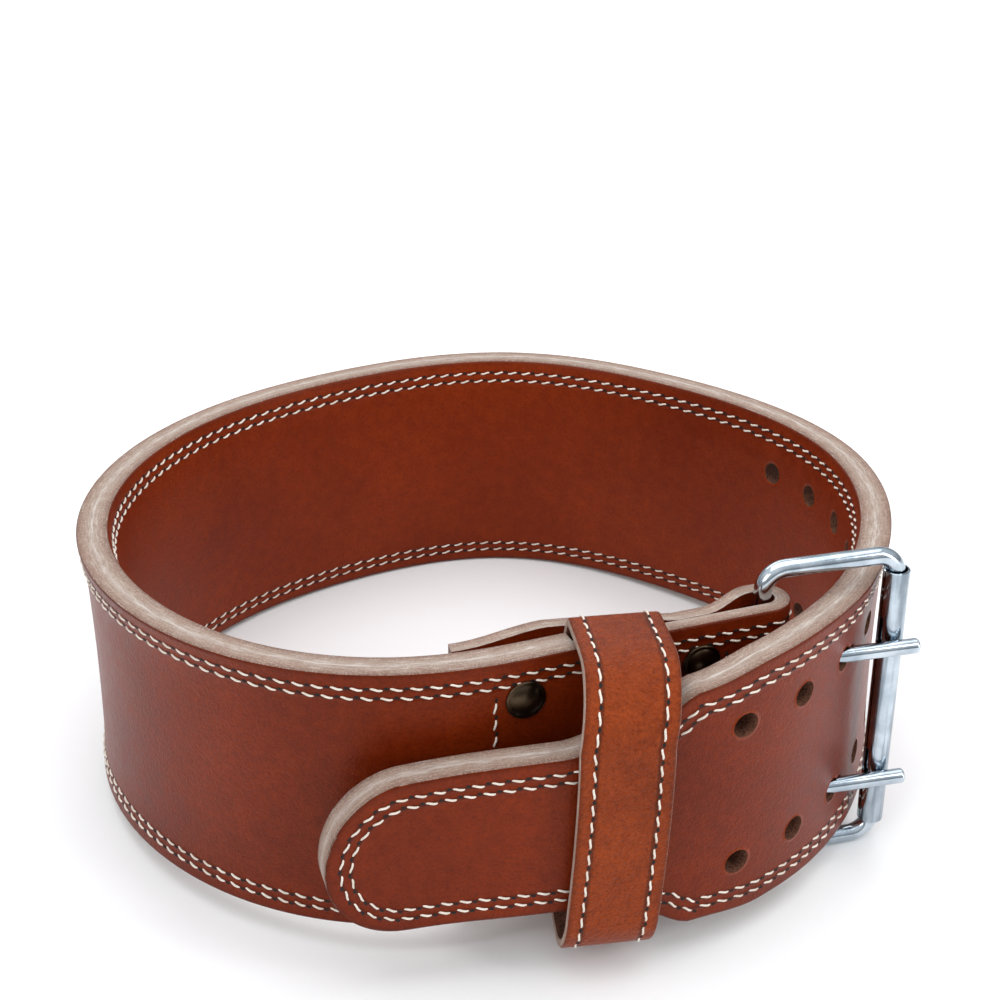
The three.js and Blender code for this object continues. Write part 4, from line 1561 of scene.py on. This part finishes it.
@dataclass
class Rivet:
    """Set rivet: domed cap outside, domed or hollow end inside."""

    name: str
    along: float
    height: float
    hollow: bool
    finishes: Finishes
    cap: float = 14.0
    cap_height: float = 2.6
    back_width: float = 12.6
    back_height: float = 2.0
    post: float = 5.0
    rim: float = 0.75
    shoulder: float = 1.15

    def build(self) -> None:
        """Makes the rivet."""
        reach = self.back_width / 2
        backs = self.along + np.array([-reach, 0, reach])
        seat = float((2 * OUTER_LAYER + WRAP.room(backs)).max()) - 0.1
        cap, post, tall, rim = self.cap / 2, self.post / 2, self.cap_height, self.rim
        front = [(0, tall)]
        dome = tall - self.shoulder
        for angle in np.linspace(0.2, 1.05, 6):
            fall = (math.cos(angle) - math.cos(1.05)) / (1 - math.cos(1.05))
            front.append((cap * 0.8 * math.sin(angle) / math.sin(1.05), self.shoulder + dome * fall))
        ridge = ((0.83, 1.0), (0.88, 1.05), (0.95, 0.95), (1, 0.55), (1, 0.2))
        front += [(cap * share, height) for share, height in ridge] + [(cap - 0.3, 0.0)]
        back = [(reach - 0.3, -seat), (reach, -seat - 0.25), (reach, -seat - rim)]
        if self.hollow:
            bowl = ((0.93, -1.15), (0.72, -1.9), (0.55, -2.0), (0.42, -1.6), (0.36, -0.8))
            bowl += ((0.33, 1.4), (0, 1.6))
            back += [(reach * share, -seat + height) for share, height in bowl]
        else:
            for angle in np.linspace(1.2, 0.2, 6):
                lift = rim + (self.back_height - rim) * math.cos(angle)
                back.append((reach * 0.97 * math.sin(angle) / math.sin(1.2), -seat - lift))
            back.append((0, -seat - self.back_height))
        bm = turned(front + [(post, -0.05), (post, -seat)] + back, 40)
        points = coordinates(bm)
        outward = WRAP.outward_at(self.along)
        across = np.array((outward.y, -outward.x))
        foot = np.array(WRAP.one(self.along, 0.0))
        plan = foot + np.outer(points[:, 2], outward) + np.outer(points[:, 0], across)
        place_vertices(bm, to_row(np.column_stack([plan, self.height + points[:, 1]])))
        make_piece(f"{self.name}_set", bm, [self.finishes.antique], "antique_nickel", (self.name,), sharp=50)


@dataclass
class Studio:
    """Pale floor, soft lights and the camera."""

    def build(self) -> None:
        """Makes the floor, lights, world and camera."""
        self.floor()
        self.lights()
        self.camera()

    def floor(self) -> None:
        """Plain pale floor."""
        bm = bmesh.new()
        bmesh.ops.create_grid(bm, x_segments=1, y_segments=1, size=40)
        mesh = bpy.data.meshes.new("floor")
        bm.to_mesh(mesh)
        bm.free()
        mesh.materials.append(FloorFinish("pale_floor").make())
        floor = bpy.data.objects.new("floor", mesh)
        bpy.context.scene.collection.objects.link(floor)

    def lights(self) -> None:
        """Large soft boxes and an even pale surround."""
        boxes = (
            ("overhead", (0.0, 0.1, 1.6), (1.8, 1.8), 16.0),
            ("front_left", (-1.1, -1.3, 1.0), (1.0, 0.8), 8.0),
            ("right_strip", (1.3, -0.7, 0.7), (0.3, 1.4), 9.0),
            ("back_rim", (-0.4, 1.5, 1.0), (1.6, 0.5), 6.0),
        )
        for name, place, size, power in boxes:
            lamp = bpy.data.lights.new(name, "AREA")
            lamp.shape = "RECTANGLE"
            lamp.size, lamp.size_y = size
            lamp.energy = power
            box = bpy.data.objects.new(name, lamp)
            box.location = place
            box.rotation_euler = (Vector((0, 0, 0.05)) - Vector(place)).to_track_quat("-Z", "Y").to_euler()
            bpy.context.scene.collection.objects.link(box)
        world = bpy.data.worlds.new("dim_walls_pale_ceiling")
        world.use_nodes = True
        tree = world.node_tree
        way = node(tree, "TexCoord", out="Generated")
        rise = node(tree, "SeparateXYZ", {0: way}, "Z")
        level = node(tree, "MapRange", {0: rise, 1: 0.05, 2: 0.65, 3: 0.3, 4: 1.0})
        tree.links.new(level, tree.nodes["Background"].inputs["Strength"])
        tree.nodes["Background"].inputs["Color"].default_value = srgb("F2F6FA")
        bpy.context.scene.world = world
        bpy.context.scene.view_settings.view_transform = "Standard"

    def camera(self) -> None:
        """Camera at the photograph's viewing angle."""
        lens = bpy.data.cameras.new("camera")
        lens.sensor_width = 36
        lens.lens = 64.26
        lens.clip_start = 0.01
        camera = bpy.data.objects.new("camera", lens)
        stand = Matrix.Translation(Vector((6, -619, 400)) * MM)
        camera.matrix_world = REST @ stand @ Matrix.Rotation(math.radians(90 - 26.3), 4, "X")
        bpy.context.scene.collection.objects.link(camera)
        bpy.context.scene.camera = camera


@dataclass
class Belt:
    """The whole belt."""

    finishes: Finishes
    rivet_rows: tuple = (("top", 35.0), ("middle", 0.0), ("bottom", -35.0))
    rivet_columns: tuple = (("buckle", 27.0, False), ("keeper", 90.5, True))

    def build(self) -> None:
        """Makes every piece of the belt."""
        done = self.finishes
        buckle = Buckle(done)
        start = -FOLD_LENGTH - CHAPE_LENGTH
        lining_top = JOINT_DEPTH - GAP / 2
        for name, strap, begin, depths, grain_first, grain in (
            ("outer_leather", "outer_strap", start, (0.0, lining_top), True, done.outer),
            ("inner_leather", "inner_strap", INNER_START, (lining_top, STRAP_THICKNESS), False, done.inner),
        ):
            materials = [grain, done.edge, done.bore]
            Leather(name, strap, name, begin, depths, grain_first, materials, buckle).build()
        LOG.info("leather done")
        buckle.build()
        keeper = Keeper(done)
        keeper.build()
        sewing = Stitching(done)
        outside, inside = strap_rows()
        sewing.sew("outside_stitches", "outer_leather", outside)
        sewing.sew("inside_stitches", "inner_leather", inside)
        Stitching(done, 3.0).sew("keeper_stitches", "keeper_leather", keeper.rows())
        LOG.info("stitches done")
        for column, along, hollow in self.rivet_columns:
            for row, shift in self.rivet_rows:
                Rivet(f"rivet_{column}_{row}", along, STRAP_WIDTH / 2 + shift, hollow, done).build()


def main() -> None:
    """Loads the frame and makes the belt and the studio."""
    logging.basicConfig(level=logging.INFO, format="%(name)s: %(message)s")
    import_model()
    Studio().build()
    Belt(Finishes.build(Buckle(None).crossing(STRAP_THICKNESS / 2))).build()


if __name__ == "__main__":
    main()
